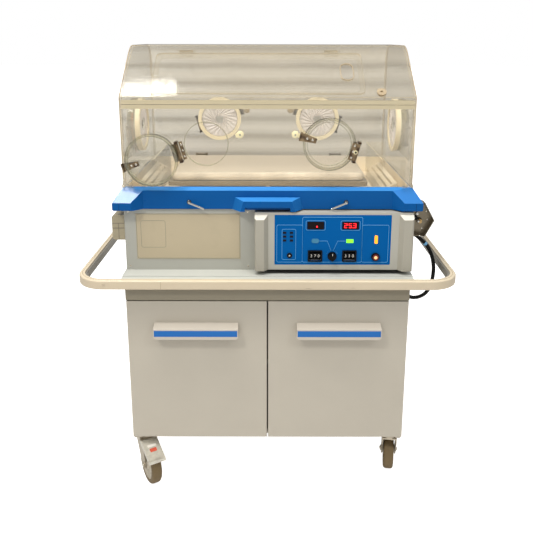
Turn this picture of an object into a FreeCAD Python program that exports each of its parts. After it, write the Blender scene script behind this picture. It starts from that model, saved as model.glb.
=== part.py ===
# Infant incubator on a two-door cabinet stand with four swivel casters.
# Frame: X to the right seen from the front, Y to the back, Z up, millimetres.
# The origin is on the floor under the middle of the stand.
import FreeCAD
import Part
import math
import os
import Sketcher
from FreeCAD import Placement, Rotation, Vector

doc = FreeCAD.newDocument("InfantIncubator")

# Driving dimensions: name, value
SIZES = (
    # Handrail and deck of the stand
    ("rail_length", 1142),
    ("rail_depth", 654),
    ("rail_top", 690),
    ("rail_height", 29),
    ("rail_corner", 88),
    ("bumper_thickness", 17),
    ("bumper_round", 5),
    ("core_thickness", 6),
    ("core_height", 24),
    ("deck_reach", 2),
    ("deck_top", 688),
    ("deck_thickness", 33),
    ("deck_step", 3),
    ("deck_lip", 23),
    ("deck_margin", 42),
    ("deck_skin", 5),
    ("band_length", 845),
    ("band_bottom", 621.5),
    ("band_wall", 34),
    # Cabinet and its doors
    ("door_proud", 3),
    ("cabinet_length", 836),
    ("cabinet_bottom", 160),
    ("cabinet_wall", 16),
    ("door_span", 842),
    ("door_thickness", 20),
    ("door_gap", 4),
    ("door_top_gap", 3.5),
    ("door_bottom", 163),
    ("door_round", 2),
    ("door_clearance", 4),
    ("pivot_inset", 8),
    ("pivot_radius", 3),
    ("pivot_depth", 10),
    ("running_fit", 0.05),
    ("shelf_height", 385),
    ("shelf_thickness", 16),
    ("shelf_setback", 30),
    ("handle_length", 251),
    ("handle_centre", 213),
    ("handle_top", 550),
    ("handle_height", 42),
    ("handle_reach", 30),
    ("handle_drop", 8),
    ("handle_wall", 5),
    ("handle_chamfer", 7),
    # Casters
    ("wheel_diameter", 125),
    ("wheel_width", 32),
    ("tyre_round", 9),
    ("hub_width", 38),
    ("axle_radius", 5),
    ("fork_gap", 40),
    ("fork_plate", 3),
    ("caster_trail", 42),
    ("caster_inset_x", 28),
    ("caster_inset_y", 46),
    ("crown_top", 142),
    ("head_radius", 25),
    ("stem_radius", 6.5),
    ("stem_rise", 12),
    ("pedal_slope", 0.4255),
    ("pedal_length", 69),
    # Incubator base and its controller
    ("base_length", 866),
    ("base_top", 880),
    ("plant_reach", 223),
    ("base_wall", 5),
    ("hood_length", 860),
    ("hood_front", -225),
    ("hood_depth", 524),
    ("module_length", 470),
    ("module_margin", 1),
    ("module_bottom", 701),
    ("module_top", 879),
    ("module_proud", 35),
    ("fascia_inset_left", 39.6),
    ("fascia_inset_right", 42),
    ("panel_inset_left", 19),
    ("panel_inset_right", 22.5),
    ("panel_bottom", 717),
    ("panel_top", 872),
    ("panel_thickness", 3),
    ("grip_proud", 15),
    ("chassis_depth", 200),
    ("filter_reach", 38),
    ("filter_bottom", 782),
    ("filter_top", 860),
    ("pan_place", -128),
    ("pan_depth", 27),
    # Blue skirt round the deck
    ("skirt_bottom", 883),
    ("skirt_knee", 908),
    ("skirt_top", 948),
    ("skirt_side", 27),
    ("skirt_front", 40),
    ("skirt_back", 15),
    ("skirt_ledge", 20),
    ("recess_depth", 9),
    ("recess_half", 371),
    ("recess_flare", 33),
    ("pull_half", 97.5),
    ("pull_nose_half", 71),
    ("pull_top", 919),
    ("pull_reach", 34),
    ("crank_place", 234),
    ("crank_height", 904),
    ("crank_radius", 4),
    ("crank_arm", 47),
    ("crank_arm_radius", 3),
    # Inside the hood
    ("floor_top", 890),
    ("floor_thickness", 6),
    ("ramp_start", 356),
    ("ramp_end", 400),
    ("ramp_low", 922),
    ("ramp_high", 944),
    ("baffle_place", 351),
    ("baffle_drop", 84),
    ("baffle_wall", 3),
    ("baffle_front", -153),
    ("baffle_back", 206),
    ("tray_length", 624),
    ("tray_depth", 324),
    ("tray_thickness", 13),
    ("tray_bottom", 930),
    ("mattress_length", 612),
    ("mattress_depth", 312),
    ("mattress_height", 28.5),
    ("tilt_height", 921),
    ("tilt_radius", 6),
    # Clear hood
    ("hood_wall", 6),
    ("hood_height", 408.5),
    ("roof_drop", 143),
    ("ridge_rise", 132),
    ("ridge_run", 174),
    ("bend_round", 14),
    ("ridge_round", 120),
    ("back_round", 60),
    ("lip_drop", 20),
    ("seal_height", 11.5),
    ("seal_gap", 1.5),
    ("seal_proud", 5),
    ("hood_hinge_height", 953),
    ("hood_hinge_back", 6.5),
    ("hinge_pin", 3),
    ("hinge_place", 250),
    ("cheek_wall", 6.6),
    ("cheek_foot", 23),
    ("flap_left", -340),
    ("flap_right", 283),
    ("flap_low", 10),
    ("flap_high", 192),
    ("flap_wall", 5),
    ("flap_lap", 14),
    ("slot_place", 235),
    ("slot_length", 74),
    ("slot_width", 38),
    # Front access panel and ports
    ("panel_axis_forward", 12),
    ("panel_axis_height", 953),
    ("panel_foot", 952),
    ("panel_side_gap", 1),
    ("port_spacing", 360),
    ("front_port_drop", 116),
    ("rear_port_drop", 105),
    ("end_port_drop", 94),
    ("port_hole", 63),
    ("port_radius", 77),
    ("end_port_hole", 72),
    ("end_port_radius", 86),
    ("port_rim", 7),
    ("port_collar", 2.5),
    ("port_collar_height", 5),
    ("port_plate", 4),
    ("port_stand", 14),
    ("port_gap", 1.5),
    ("hinge_offset", 5.7),
    ("hinge_axis_stand", 15),
    ("port_slant", 16),
    ("ring_radius", 79),
    ("ring_width", 13),
    ("ring_thickness", 10),
    ("end_ring_thickness", 14),
    ("sleeve_hole", 12),
    # Controls
    ("knob_radius", 13.5),
    ("knob_height", 16),
    ("button_radius", 9),
    ("button_height", 9),
    ("button_travel", 2.5),
    ("wheel_block_width", 43),
    ("wheel_block_height", 35),
    ("setpoint_wheel_radius", 14),
    ("wheels_sink", 12),
    # Mains lead
    ("cord_diameter", 12),
)

sheet = doc.addObject("Spreadsheet::Sheet", "Sizes")
for row, (alias, number) in enumerate(SIZES, start=1):
    sheet.set(f"A{row}", alias)
    sheet.set(f"B{row}", str(number))
    sheet.setAlias(f"B{row}", alias)
doc.recompute()


def number_of(item):
    return item.number if isinstance(item, Size) else float(item)


def formula_of(item):
    return item.formula if isinstance(item, Size) else f"({float(item):.6f})"


class Size:
    """A length together with the sheet formula that gives it."""

    def __init__(self, number, formula):
        self.number = float(number)
        self.formula = formula

    def __float__(self):
        return self.number

    def __add__(self, other):
        return Size(self.number + number_of(other), f"({self.formula} + {formula_of(other)})")

    def __radd__(self, other):
        return Size(number_of(other) + self.number, f"({formula_of(other)} + {self.formula})")

    def __sub__(self, other):
        return Size(self.number - number_of(other), f"({self.formula} - {formula_of(other)})")

    def __rsub__(self, other):
        return Size(number_of(other) - self.number, f"({formula_of(other)} - {self.formula})")

    def __mul__(self, other):
        return Size(self.number * number_of(other), f"({self.formula} * {formula_of(other)})")

    def __rmul__(self, other):
        return self * other

    def __truediv__(self, other):
        return Size(self.number / number_of(other), f"({self.formula} / {formula_of(other)})")

    def __neg__(self):
        return Size(-self.number, f"(0 - {self.formula})")


class Sheet:
    """The driving dimensions by name."""

    def __getattr__(self, name):
        return Size(sheet.get(name), f"Sizes.{name}")


s = Sheet()
pieces = []


def piece(name, item):
    """Name a finished sub-part, which is written to its own file."""
    item.Label = name
    pieces.append(item)
    return item


def bind(item, prop, size):
    item.setExpression(prop, formula_of(size))


def place(item, x, y, z):
    bind(item, ".Placement.Base.x", x)
    bind(item, ".Placement.Base.y", y)
    bind(item, ".Placement.Base.z", z)
    return item


def block(name, x, y, z):
    """A box between two limits on each axis."""
    item = doc.addObject("Part::Box", name)
    bind(item, "Length", x[1] - x[0])
    bind(item, "Width", y[1] - y[0])
    bind(item, "Height", z[1] - z[0])
    return place(item, x[0], y[0], z[0])


TURN_TO = {
    "x": Rotation(Vector(0, 1, 0), 90),
    "y": Rotation(Vector(1, 0, 0), -90),
    "z": Rotation(),
}


def rod(name, axis, radius, start, length, x=0, y=0, z=0):
    """A cylinder along one axis; start is its low end on that axis."""
    item = doc.addObject("Part::Cylinder", name)
    item.Placement.Rotation = TURN_TO[axis]
    bind(item, "Radius", radius)
    bind(item, "Height", length)
    centre = {"x": x, "y": y, "z": z}
    centre[axis] = start
    return place(item, centre["x"], centre["y"], centre["z"])


def fuse(name, *items):
    item = doc.addObject("Part::MultiFuse", name)
    item.Shapes = list(items)
    return item


def cut(name, base, *tools):
    item = doc.addObject("Part::Cut", name)
    item.Base = base
    item.Tool = tools[0] if len(tools) == 1 else fuse(name + "Tools", *tools)
    return item


def group(name, *items):
    item = doc.addObject("Part::Compound", name)
    item.Links = list(items)
    return item


def mirrored(name, item):
    """The same form on the other side of the middle plane."""
    other = doc.addObject("Part::Mirroring", name)
    other.Source = item
    other.Normal = Vector(1, 0, 0)
    other.Base = Vector(0, 0, 0)
    return other


def both_sides(name, item):
    return group(name, item, mirrored(name + "Other", item))


def form(name, shape):
    """A form with no ready-made object, made with Part's own functions."""
    item = doc.addObject("Part::Feature", name)
    item.Shape = shape
    return item


PLANES = {
    "x": ("YZ_Plane", lambda edge: abs(edge.tangentAt(edge.FirstParameter).x)),
    "y": ("XZ_Plane", lambda edge: abs(edge.tangentAt(edge.FirstParameter).y)),
    "z": ("XY_Plane", lambda edge: abs(edge.tangentAt(edge.FirstParameter).z)),
}


def prism(name, axis, outline, middle, length, rounds=()):
    """A padded sketch: outline in the plane across axis, half the length each side of middle.

    rounds holds (corner numbers, radius) for the edges along the axis.
    """
    role, along = PLANES[axis]
    body = doc.addObject("PartDesign::Body", name)
    sketch = body.newObject("Sketcher::SketchObject", name + "Outline")
    plane = [feature for feature in body.Origin.OriginFeatures if feature.Role == role][0]
    sketch.AttachmentSupport = [(plane, "")]
    sketch.MapMode = "FlatFace"
    count = len(outline)
    points = [Vector(number_of(u), number_of(v), 0) for u, v in outline]
    for index in range(count):
        sketch.addGeometry(Part.LineSegment(points[index], points[(index + 1) % count]), False)
    for index in range(count):
        sketch.addConstraint(Sketcher.Constraint("Coincident", index, 2, (index + 1) % count, 1))
    for index, (u, v) in enumerate(outline):
        for kind, size in (("DistanceX", u), ("DistanceY", v)):
            rule = Sketcher.Constraint(kind, -1, 1, index, 1, number_of(size))
            number = sketch.addConstraint(rule)
            if isinstance(size, Size):
                sketch.setExpression(f"Constraints[{number}]", size.formula)
    pad = body.newObject("PartDesign::Pad", name + "Pad")
    pad.Profile = sketch
    pad.SideType = "Symmetric"
    bind(pad, "Length", length)
    doc.recompute()
    last = pad
    for corners, radius in rounds:
        edges = []
        for number, edge in enumerate(last.Shape.Edges, start=1):
            if along(edge) < 0.99:
                continue
            spot = edge.Vertexes[0].Point
            flat = {"x": (spot.y, spot.z), "y": (spot.x, spot.z), "z": (spot.x, spot.y)}[axis]
            for corner in corners:
                gap = math.hypot(flat[0] - points[corner].x, flat[1] - points[corner].y)
                if gap < 0.01:
                    edges.append(f"Edge{number}")
        rounding = body.newObject("PartDesign::Fillet", f"{name}Round{corners[0]}")
        rounding.Base = (last, edges)
        bind(rounding, "Radius", radius)
        doc.recompute()
        last = rounding
    centre = {"x": 0, "y": 0, "z": 0}
    centre[axis] = middle
    return place(body, centre["x"], centre["y"], centre["z"])


def slab(name, x, y, z, radius):
    """A plate lying flat, with its four upright edges rounded."""
    outline = ((x[0], y[0]), (x[1], y[0]), (x[1], y[1]), (x[0], y[1]))
    return prism(name, "z", outline, (z[0] + z[1]) / 2, z[1] - z[0], (((0, 1, 2, 3), radius),))


# Places worked out from the driving dimensions
rail_bottom = s.rail_top - s.rail_height
rail_wall = s.bumper_thickness + s.core_thickness
deck_front = -(s.rail_depth / 2 - rail_wall)
deck_back = -deck_front
deck_bottom = s.deck_top - s.deck_thickness
door_front = deck_front - s.door_proud
door_back = door_front + s.door_thickness
cabinet_front = door_back + s.door_clearance
cabinet_back = deck_back + 1
door_top = s.band_bottom - s.door_top_gap
pivot_place = s.door_span / 2 - s.pivot_inset
pivot_y = door_front + s.door_thickness / 2
hood_back = s.hood_front + s.hood_depth
hood_half = s.hood_length / 2
hood_middle = s.hood_front + s.hood_depth / 2
port_place = s.port_spacing / 2
cord_radius = s.cord_diameter / 2
hood_foot = s.skirt_top + 0.5
roof_height = hood_foot + s.hood_height
bend_height = roof_height - s.roof_drop
lip_height = bend_height - s.lip_drop
front_port_height = lip_height - s.front_port_drop
rear_port_height = lip_height - s.rear_port_drop
end_port_height = lip_height - s.end_port_drop
flap_axis = s.flap_high + 6
flap_axis_rise = s.flap_wall + 1


# Stand: handrail
def rail_ring(name, inset, thickness, z):
    """A closed rounded loop, inset from the rail's outer line."""
    half_x = s.rail_length / 2 - inset
    half_y = s.rail_depth / 2 - inset
    outer = slab(name + "Outer", (-half_x, half_x), (-half_y, half_y), z, s.rail_corner - inset)
    in_x = half_x - thickness
    in_y = half_y - thickness
    inner_round = s.rail_corner - inset - thickness
    inner = slab(name + "Inner", (-in_x, in_x), (-in_y, in_y), (z[0] - 5, z[1] + 5), inner_round)
    return cut(name, outer, inner)


def handrail():
    ring = rail_ring("BumperRing", 0, s.bumper_thickness, (rail_bottom, s.rail_top))
    doc.recompute()
    half_y = number_of(s.rail_depth) / 2
    half_x = number_of(s.rail_length) / 2
    rounds = []
    for number, edge in enumerate(ring.Shape.Edges, start=1):
        box = edge.BoundBox
        level = box.ZLength < 0.01
        outer = max(abs(box.XMax), abs(box.XMin)) > half_x - 0.01 or box.YMax > half_y - 0.01
        if level and (outer or box.YMin < -half_y + 0.01):
            rounds.append((number, number_of(s.bumper_round), number_of(s.bumper_round)))
    bumper = doc.addObject("Part::Fillet", "Bumper")
    bumper.Base = ring
    bumper.Edges = rounds
    piece("rail_bumper", bumper)
    middle = s.rail_top - s.rail_height / 2
    core_z = (middle - s.core_height / 2, middle + s.core_height / 2)
    core = rail_ring("CoreRing", s.bumper_thickness, s.core_thickness, core_z)
    piece("rail_core", core)


# Stand: deck plate and the darker band under it
def deck():
    half = s.base_length / 2 + s.deck_reach
    low = (deck_bottom, s.deck_top - s.deck_step)
    base = slab("DeckBase", (-half, half), (deck_front, deck_back), low, 4)
    field_y = (deck_front + s.deck_lip, deck_back - s.deck_lip)
    field = slab("DeckField", (-half, half), field_y, (low[1] - 1, s.deck_top), 3)
    margin = s.deck_margin
    under = slab("DeckUnder", (-half + margin, half - margin), (deck_front + margin, deck_back - margin),
                 (deck_bottom - 5, s.deck_top - s.deck_skin), 6)
    piece("deck_plate", cut("Deck", fuse("DeckSolid", base, field), under))


def stand_band():
    half = s.band_length / 2
    outer = slab("BandOuter", (-half, half), (door_front, cabinet_back), (s.band_bottom, deck_bottom), 3)
    inner_x = (-half + s.band_wall, half - s.band_wall)
    inner_y = (door_front + s.band_wall, cabinet_back - s.band_wall)
    hollow = slab("BandHollow", inner_x, inner_y, (s.band_bottom - 5, deck_bottom + 5), 6)
    frame = cut("BandFrame", outer, hollow)
    pin_start = door_top - s.pivot_depth + 1
    pin_length = s.band_bottom - pin_start + 4
    pin = rod("BandPin", "z", s.pivot_radius, pin_start, pin_length, pivot_place, pivot_y)
    piece("stand_frame", fuse("Band", frame, pin, mirrored("BandPinOther", pin)))


# Cabinet: open-fronted shell, shelf, two doors with pull handles
def cabinet():
    half = s.cabinet_length / 2
    wall = s.cabinet_wall
    z = (s.cabinet_bottom, s.band_bottom)
    outer = slab("ShellOuter", (-half, half), (cabinet_front, cabinet_back), z, 2)
    room_x = (-half + wall, half - wall)
    room = block("ShellRoom", room_x, (cabinet_front - 5, cabinet_back - wall), (z[0] + wall, z[1] - wall))
    bores = []
    for side_name, side in (("Left", -1), ("Right", 1)):
        for end_name, end in (("Front", -1), ("Rear", 1)):
            bore = rod(f"StemBore{side_name}{end_name}", "z", s.stem_radius + s.running_fit,
                       z[0] - 1, s.stem_rise + 3, side * caster_x, end * caster_y)
            bores.append(bore)
    shell = cut("ShellBody", outer, room, *bores)
    foot_x = (pivot_place - 10, half)
    foot = block("PivotFoot", foot_x, (pivot_y - 7, cabinet_front + 2), (z[0] - 3, s.door_bottom - 0.6))
    pin_start = s.door_bottom - 3
    pin = rod("PivotPin", "z", s.pivot_radius, pin_start, s.pivot_depth + 2, pivot_place, pivot_y)
    foot_pin = fuse("PivotSet", foot, pin)
    clear = block("PivotRoom", room_x, (cabinet_front, cabinet_back - wall), (z[0] + wall, z[1] - wall))
    pivots = cut("PivotTrim", foot_pin, clear)
    piece("cabinet_shell", fuse("Shell", shell, pivots, mirrored("PivotTrimOther", pivots)))
    shelf_y = (cabinet_front + s.shelf_setback, cabinet_back - wall)
    shelf_z = (s.shelf_height, s.shelf_height + s.shelf_thickness)
    piece("cabinet_shelf", block("Shelf", room_x, shelf_y, shelf_z))


def cabinet_door():
    """Right-hand door; the left one is its mirror image."""
    x = (s.door_gap / 2, s.door_span / 2)
    leaf = slab("DoorLeaf", x, (door_front, door_back), (s.door_bottom, door_top), s.door_round)
    bore_radius = s.pivot_radius + s.running_fit
    low = rod("DoorBoreLow", "z", bore_radius, s.door_bottom - 1, s.pivot_depth + 2, pivot_place, pivot_y)
    high = rod("DoorBoreHigh", "z", bore_radius, door_top - s.pivot_depth, s.pivot_depth + 1,
               pivot_place, pivot_y)
    door = cut("DoorRight", leaf, low, high)
    piece("door_right", door)
    piece("door_left", mirrored("DoorLeft", door))


def door_handle():
    """A hooded pull: a sloping top, a front lip and end cheeks, open underneath."""
    top = s.handle_top
    low = top - s.handle_height
    left = s.handle_centre - s.handle_length / 2
    right = s.handle_centre + s.handle_length / 2
    front = door_front - s.handle_reach
    wall = s.handle_wall
    outline = ((front, low), (door_front, low), (door_front, top), (front, top - s.handle_drop))
    hood = prism("HandleHood", "x", outline, s.handle_centre, s.handle_length, (((3,), 3),))
    hollow = ((front + wall, low - 5), (door_front + 1, low - 5), (door_front + 1, top - wall),
              (front + wall, top - s.handle_drop - wall))
    pocket = prism("HandlePocket", "x", hollow, s.handle_centre, s.handle_length - wall * 2)
    corners = []
    for name, edge, inward in (("Left", left, 1), ("Right", right, -1)):
        chamfer = s.handle_chamfer * inward
        wedge = ((edge - inward, low - 1), (edge + chamfer, low - 1), (edge - inward, low + s.handle_chamfer))
        corners.append(prism(f"HandleCorner{name}", "y", wedge, front + 10, 60))
    handle = cut("HandleRight", hood, pocket, *corners)
    piece("handle_right", handle)
    piece("handle_left", mirrored("HandleLeft", handle))


# Casters, drawn on their own swivel axis, trailing towards -Y
caster_x = s.cabinet_length / 2 + 2 - s.caster_inset_x
caster_y = -(door_front + s.caster_inset_y)
axle_height = s.wheel_diameter / 2
axle_y = -s.caster_trail
pedal_pivot = (-20, s.crown_top - 4)
CASTERS = (
    ("front_left", -1, -1, 30),
    ("front_right", 1, -1, 171),
    ("rear_left", -1, 1, 171),
    ("rear_right", 1, 1, 189),
)


def fork_form():
    """Pressed yoke: crown, two tapering legs, swivel head and threaded stem."""
    half = s.fork_gap / 2 + s.fork_plate
    top = s.crown_top
    foot = axle_height - 12
    outline = ((24, top), (24, top - 14), (axle_y + 14, foot), (axle_y - 10, foot),
               (axle_y - 15, axle_height + 2), (-28, top))
    yoke = prism("ForkYoke", "x", outline, 0, half * 2, (((2, 3), 8),))
    clear_top = top - 5
    slot = block("ForkSlot", (-s.fork_gap / 2, s.fork_gap / 2), (axle_y - 60, 40), (0, clear_top))
    arms = cut("ForkArms", yoke, slot)
    head_low = rod("ForkRaceLow", "z", s.head_radius, top - 1, 7)
    head_top = s.cabinet_bottom - 0.2
    head_high = rod("ForkRaceHigh", "z", s.head_radius - 6, top + 5, head_top - top - 5)
    stem = rod("ForkStem", "z", s.stem_radius, top + 5, s.cabinet_bottom - top - 5 + s.stem_rise)
    axle = rod("ForkAxle", "x", s.axle_radius, -half - 4, half * 2 + 8, 0, axle_y, axle_height)
    nut = rod("ForkNut", "x", s.axle_radius + 4, -half - 3, half * 2 + 6, 0, axle_y, axle_height)
    nut_gap = rod("ForkNutGap", "x", s.axle_radius + 5, -half, half * 2, 0, axle_y, axle_height)
    nuts = cut("ForkNuts", nut, nut_gap)
    reach = half + s.fork_plate + 1
    pivot = rod("ForkPivot", "x", s.pivot_radius, -reach, reach * 2, 0, pedal_pivot[0], pedal_pivot[1])
    return fuse("Fork", arms, head_low, head_high, stem, axle, nuts, pivot)


def wheel_form():
    """A turned wheel: rounded tyre, dished disc and bored hub."""
    radius = number_of(s.wheel_diameter) / 2
    tyre = number_of(s.wheel_width) / 2
    hub = number_of(s.hub_width) / 2
    bore = number_of(s.axle_radius) + number_of(s.running_fit)
    curve = number_of(s.tyre_round)
    web = tyre * 0.45
    bend = curve * (1 - math.sqrt(0.5))

    def half_outline(sign):
        return [Vector(sign * hub, 0, bore), Vector(sign * hub, 0, 15), Vector(sign * web, 0, 20),
                Vector(sign * web, 0, 42), Vector(sign * tyre, 0, 47),
                Vector(sign * tyre, 0, radius - curve)]

    right = half_outline(1)
    left = half_outline(-1)
    edges = [Part.LineSegment(a, b).toShape() for a, b in zip(right[:-1], right[1:])]
    for sign, line in ((1, right), (-1, left)):
        end = Vector(sign * (tyre - curve), 0, radius)
        mid = Vector(sign * (tyre - bend), 0, radius - bend)
        edges.append(Part.Arc(line[-1], mid, end).toShape())
    flat = Part.LineSegment(Vector(tyre - curve, 0, radius), Vector(curve - tyre, 0, radius))
    edges.append(flat.toShape())
    edges += [Part.LineSegment(a, b).toShape() for a, b in zip(left[:-1], left[1:])]
    edges.append(Part.LineSegment(left[0], right[0]).toShape())
    wire = Part.Wire(Part.__sortEdges__(edges))
    solid = Part.Face(wire).revolve(Vector(0, 0, 0), Vector(1, 0, 0), 360)
    solid.translate(Vector(0, number_of(axle_y), number_of(axle_height)))
    return form("Wheel", solid)


def pedal_form():
    """Brake pedal: a sloping plate over the wheel, side cheeks and a tread bar."""
    inner = s.fork_gap / 2 + s.fork_plate + 0.3
    outer = inner + s.fork_plate
    fall = s.pedal_length * s.pedal_slope
    near = (-31, s.crown_top + 0.2)
    far = (-31 - s.pedal_length, s.crown_top + 0.2 - fall)
    plate = ((near[0], near[1]), (near[0], near[1] - 3), (far[0], far[1] - 3), (far[0], far[1]))
    hood = prism("PedalPlate", "x", plate, 0, outer * 2)
    cheek = ((-14, s.crown_top - 1.5), (-14, s.crown_top - 11), (far[0] + 12, far[1] - 10),
             (far[0] + 2, far[1] - 1), (near[0], near[1] - 1))
    sides = prism("PedalCheek", "x", cheek, 0, outer * 2)
    gap = block("PedalGap", (-inner, inner), (-200, 60), (0, 200))
    bore = rod("PedalBore", "x", s.pivot_radius + s.running_fit, -40, 80, 0, pedal_pivot[0], pedal_pivot[1])
    cheeks = cut("PedalCheeks", sides, gap, bore)
    bar = block("PedalBar", (-outer, outer), (far[0] - 7, far[0] + 1), (far[1] - 11, far[1] - 1))
    return fuse("Pedal", hood, cheeks, bar)


def casters():
    fork = fork_form()
    wheel = wheel_form()
    pedal = pedal_form()
    for name, side, end, angle in CASTERS:
        parts = [("fork", fork), ("wheel", wheel)]
        if end < 0:
            parts.append(("pedal", pedal))
        for kind, source in parts:
            item = group(f"{kind}_{name}_set", source)
            item.Placement.Rotation = Rotation(Vector(0, 0, 1), angle)
            place(item, side * caster_x, end * caster_y, 0)
            piece(f"caster_{kind}_{name}", item)


# Incubator base: moulded housing with the air plant inside
def base_housing():
    half = s.base_length / 2
    y = (s.hood_front, hood_back)
    z = (s.deck_top, s.base_top)
    outer = slab("BaseOuter", (-half, half), y, z, 4)
    wall = s.base_wall
    room = slab("BaseRoom", (-half + wall, half - wall), (y[0] + wall, y[1] - wall),
                (z[0] + wall, z[1] + 5), 3)
    mouth = block("BaseMouth", (fascia_left - 1, fascia_right + 1), (y[0] - 5, y[0] + wall + 5),
                  (s.module_bottom + 3, s.module_top - 12))
    window = block("BaseAirIntake", (-half - 5, -half + wall + 5), filter_y_inner(), (s.filter_bottom + 12, s.filter_top - 12))
    piece("base_housing", cut("BaseHousing", outer, room, mouth, window))


def filter_y_inner():
    return (s.hood_front + 16, s.hood_front + 130)


def air_plant():
    """Fan motor, its rotor and the heater ring stand on the housing floor at the left."""
    floor = s.deck_top + s.base_wall
    x = s.plant_reach - s.base_length / 2
    y = hood_middle
    motor = rod("MotorCan", "z", 38, floor, 62, x, y)
    shaft = rod("MotorShaft", "z", 4, floor + 60, 40, x, y)
    piece("fan_motor", fuse("Motor", motor, shaft))
    hub = rod("RotorHub", "z", 14, floor + 66, 32, x, y)
    disc = rod("RotorDisc", "z", 72, floor + 66, 3, x, y)
    parts = [hub, disc]
    blade_count = 12
    for index in range(blade_count):
        blade = doc.addObject("Part::Box", f"RotorBlade{index}")
        blade.Length = 34
        blade.Width = 2
        blade.Height = 26
        turn = Rotation(Vector(0, 0, 1), 360.0 * index / blade_count)
        corner = turn.multVec(Vector(36, -1, 0))
        blade.Placement.Rotation = turn
        place(blade, x + corner.x, y + corner.y, floor + 68)
        parts.append(blade)
    rotor = fuse("RotorSolid", *parts)
    bore = rod("RotorBore", "z", 4 + s.running_fit, floor + 50, 60, x, y)
    piece("fan_rotor", cut("Rotor", rotor, bore))
    ring = doc.addObject("Part::Torus", "HeaterRing")
    ring.Radius1 = 96
    ring.Radius2 = 6
    place(ring, x, y, floor + 84)
    parts = [ring]
    for index in range(3):
        turn = Rotation(Vector(0, 0, 1), 120.0 * index + 30)
        spot = turn.multVec(Vector(96, 0, 0))
        parts.append(rod(f"HeaterPost{index}", "z", 5, floor, 84, x + spot.x, y + spot.y))
    piece("heater", fuse("Heater", *parts))


def filter_box():
    """Air filter cassette on the left side wall: a box with a window, the element inside it."""
    side = -s.base_length / 2
    outer_x = side - s.filter_reach
    y_low, y_high = filter_y_inner()
    y = (y_low - 12, y_high + 12)
    low = s.filter_bottom
    high = s.filter_top
    outline = ((side, high), (outer_x + 6, high), (outer_x, high - 6), (outer_x, low + 6),
               (outer_x + 6, low), (side, low))
    case = prism("FilterCase", "y", outline, (y[0] + y[1]) / 2, y[1] - y[0])
    hollow = block("FilterHollow", (outer_x + 4, side + 1), (y[0] + 4, y[1] - 4), (low + 6, high - 6))
    window = block("FilterWindow", (outer_x - 1, outer_x + 5), (y[0] + 10, y[1] - 10), (low + 12, high - 12))
    shell = cut("FilterShell", case, hollow, window)
    bars = []
    for index in range(1, 4):
        spot = y[0] + 10 + (y[1] - y[0] - 20) * index / 4
        bars.append(block(f"FilterBar{index}", (outer_x, outer_x + 4), (spot - 1.5, spot + 1.5),
                          (low + 11, high - 11)))
    element = block("FilterElement", (outer_x + 8, side - 0.3), (y[0] + 4, y[1] - 4), (low + 6, high - 6))
    piece("filter_box", group("FilterSet", fuse("FilterBox", shell, *bars), element))


# Outlines of the pan and its hollow: reach out from the wall, height
PAN = ((2, 881), (27, 881), (27, 893), (56, 883), (88, 825), (60, 772), (41, 776), (2, 776))
PAN_ROOM = ((-3, 883), (25, 883), (25, 895.8), (54.7, 885.5), (85.7, 825), (59, 774.2), (41.3, 778), (-3, 778))


def service_panel():
    """Shallow steel pan that stands out from the right side wall and carries the gas fittings."""
    side = s.base_length / 2
    back = s.pan_place
    outline = [(side + reach, height) for reach, height in PAN]
    hollow = [(side + reach, height) for reach, height in PAN_ROOM]
    pan = prism("PanBody", "y", outline, back - s.pan_depth / 2, s.pan_depth)
    room = prism("PanRoom", "y", hollow, back - s.pan_depth / 2 - 2, s.pan_depth)
    foot = block("PanFoot", (side, side + 2), (back - 2, back + 28), (812, 872))
    piece("service_panel", fuse("Pan", cut("PanShell", pan, room), foot))
    fittings = []
    for index, (out, height, radius, reach) in enumerate(GAS_FITTINGS):
        x = side + out
        body = rod(f"FittingBody{index}", "y", radius, back - 2 - reach, reach, x, 0, height)
        tip = rod(f"FittingTip{index}", "y", radius - 2.5, back - 12 - reach, 11, x, 0, height)
        fittings.append(fuse(f"Fitting{index}", body, tip))
    piece("gas_fittings", group("GasFittings", *fittings))


# Fittings on the pan: reach out from the wall, height, radius, length
GAS_FITTINGS = ((19, 862, 7, 20), (41, 862, 6, 14), (19, 838, 8, 16), (45, 820, 7, 12), (19, 806, 7, 18))


# Controller: housing, lift handles, fascia and its controls
def module():
    front = s.hood_front - s.module_proud
    outer_x = (module_left, module_right)
    z = (s.module_bottom, s.module_top)
    face = slab("ModuleFace", outer_x, (front, s.hood_front - 0.3), z, 3)
    chassis_z = (z[0] + 4, z[1] - 13)
    chassis_y = (s.hood_front - 5, s.hood_front + s.chassis_depth)
    chassis = block("ModuleChassis", (fascia_left, fascia_right), chassis_y, chassis_z)
    pocket = block("ModulePocket", (panel_left, panel_right), (front - 1, front + s.panel_thickness),
                   (s.panel_bottom, s.panel_top))
    bores = []
    axles = []
    for name, radius, x, height, depth in CONTROL_BORES:
        bores.append(rod(f"ModuleBore{name}", "y", radius + 0.5, front + 2, depth, x, 0, height))
    for name, x in (("Left", wheels_left), ("Right", wheels_right)):
        half = s.wheel_block_width / 2 - 4
        bores.append(block(f"ModuleWell{name}", (x - half, x + half), (front + 1, front + 34),
                           (wheels_z - 14.5, wheels_z + 14.5)))
        axles.append(rod(f"ModuleAxle{name}", "x", s.pivot_radius, x - half - 2, half * 2 + 4, 0,
                         front + s.wheels_sink, wheels_z))
    body = cut("ModuleHollow", fuse("ModuleBody", face, chassis), pocket, *bores)
    piece("module_housing", fuse("Module", body, *axles))


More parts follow.
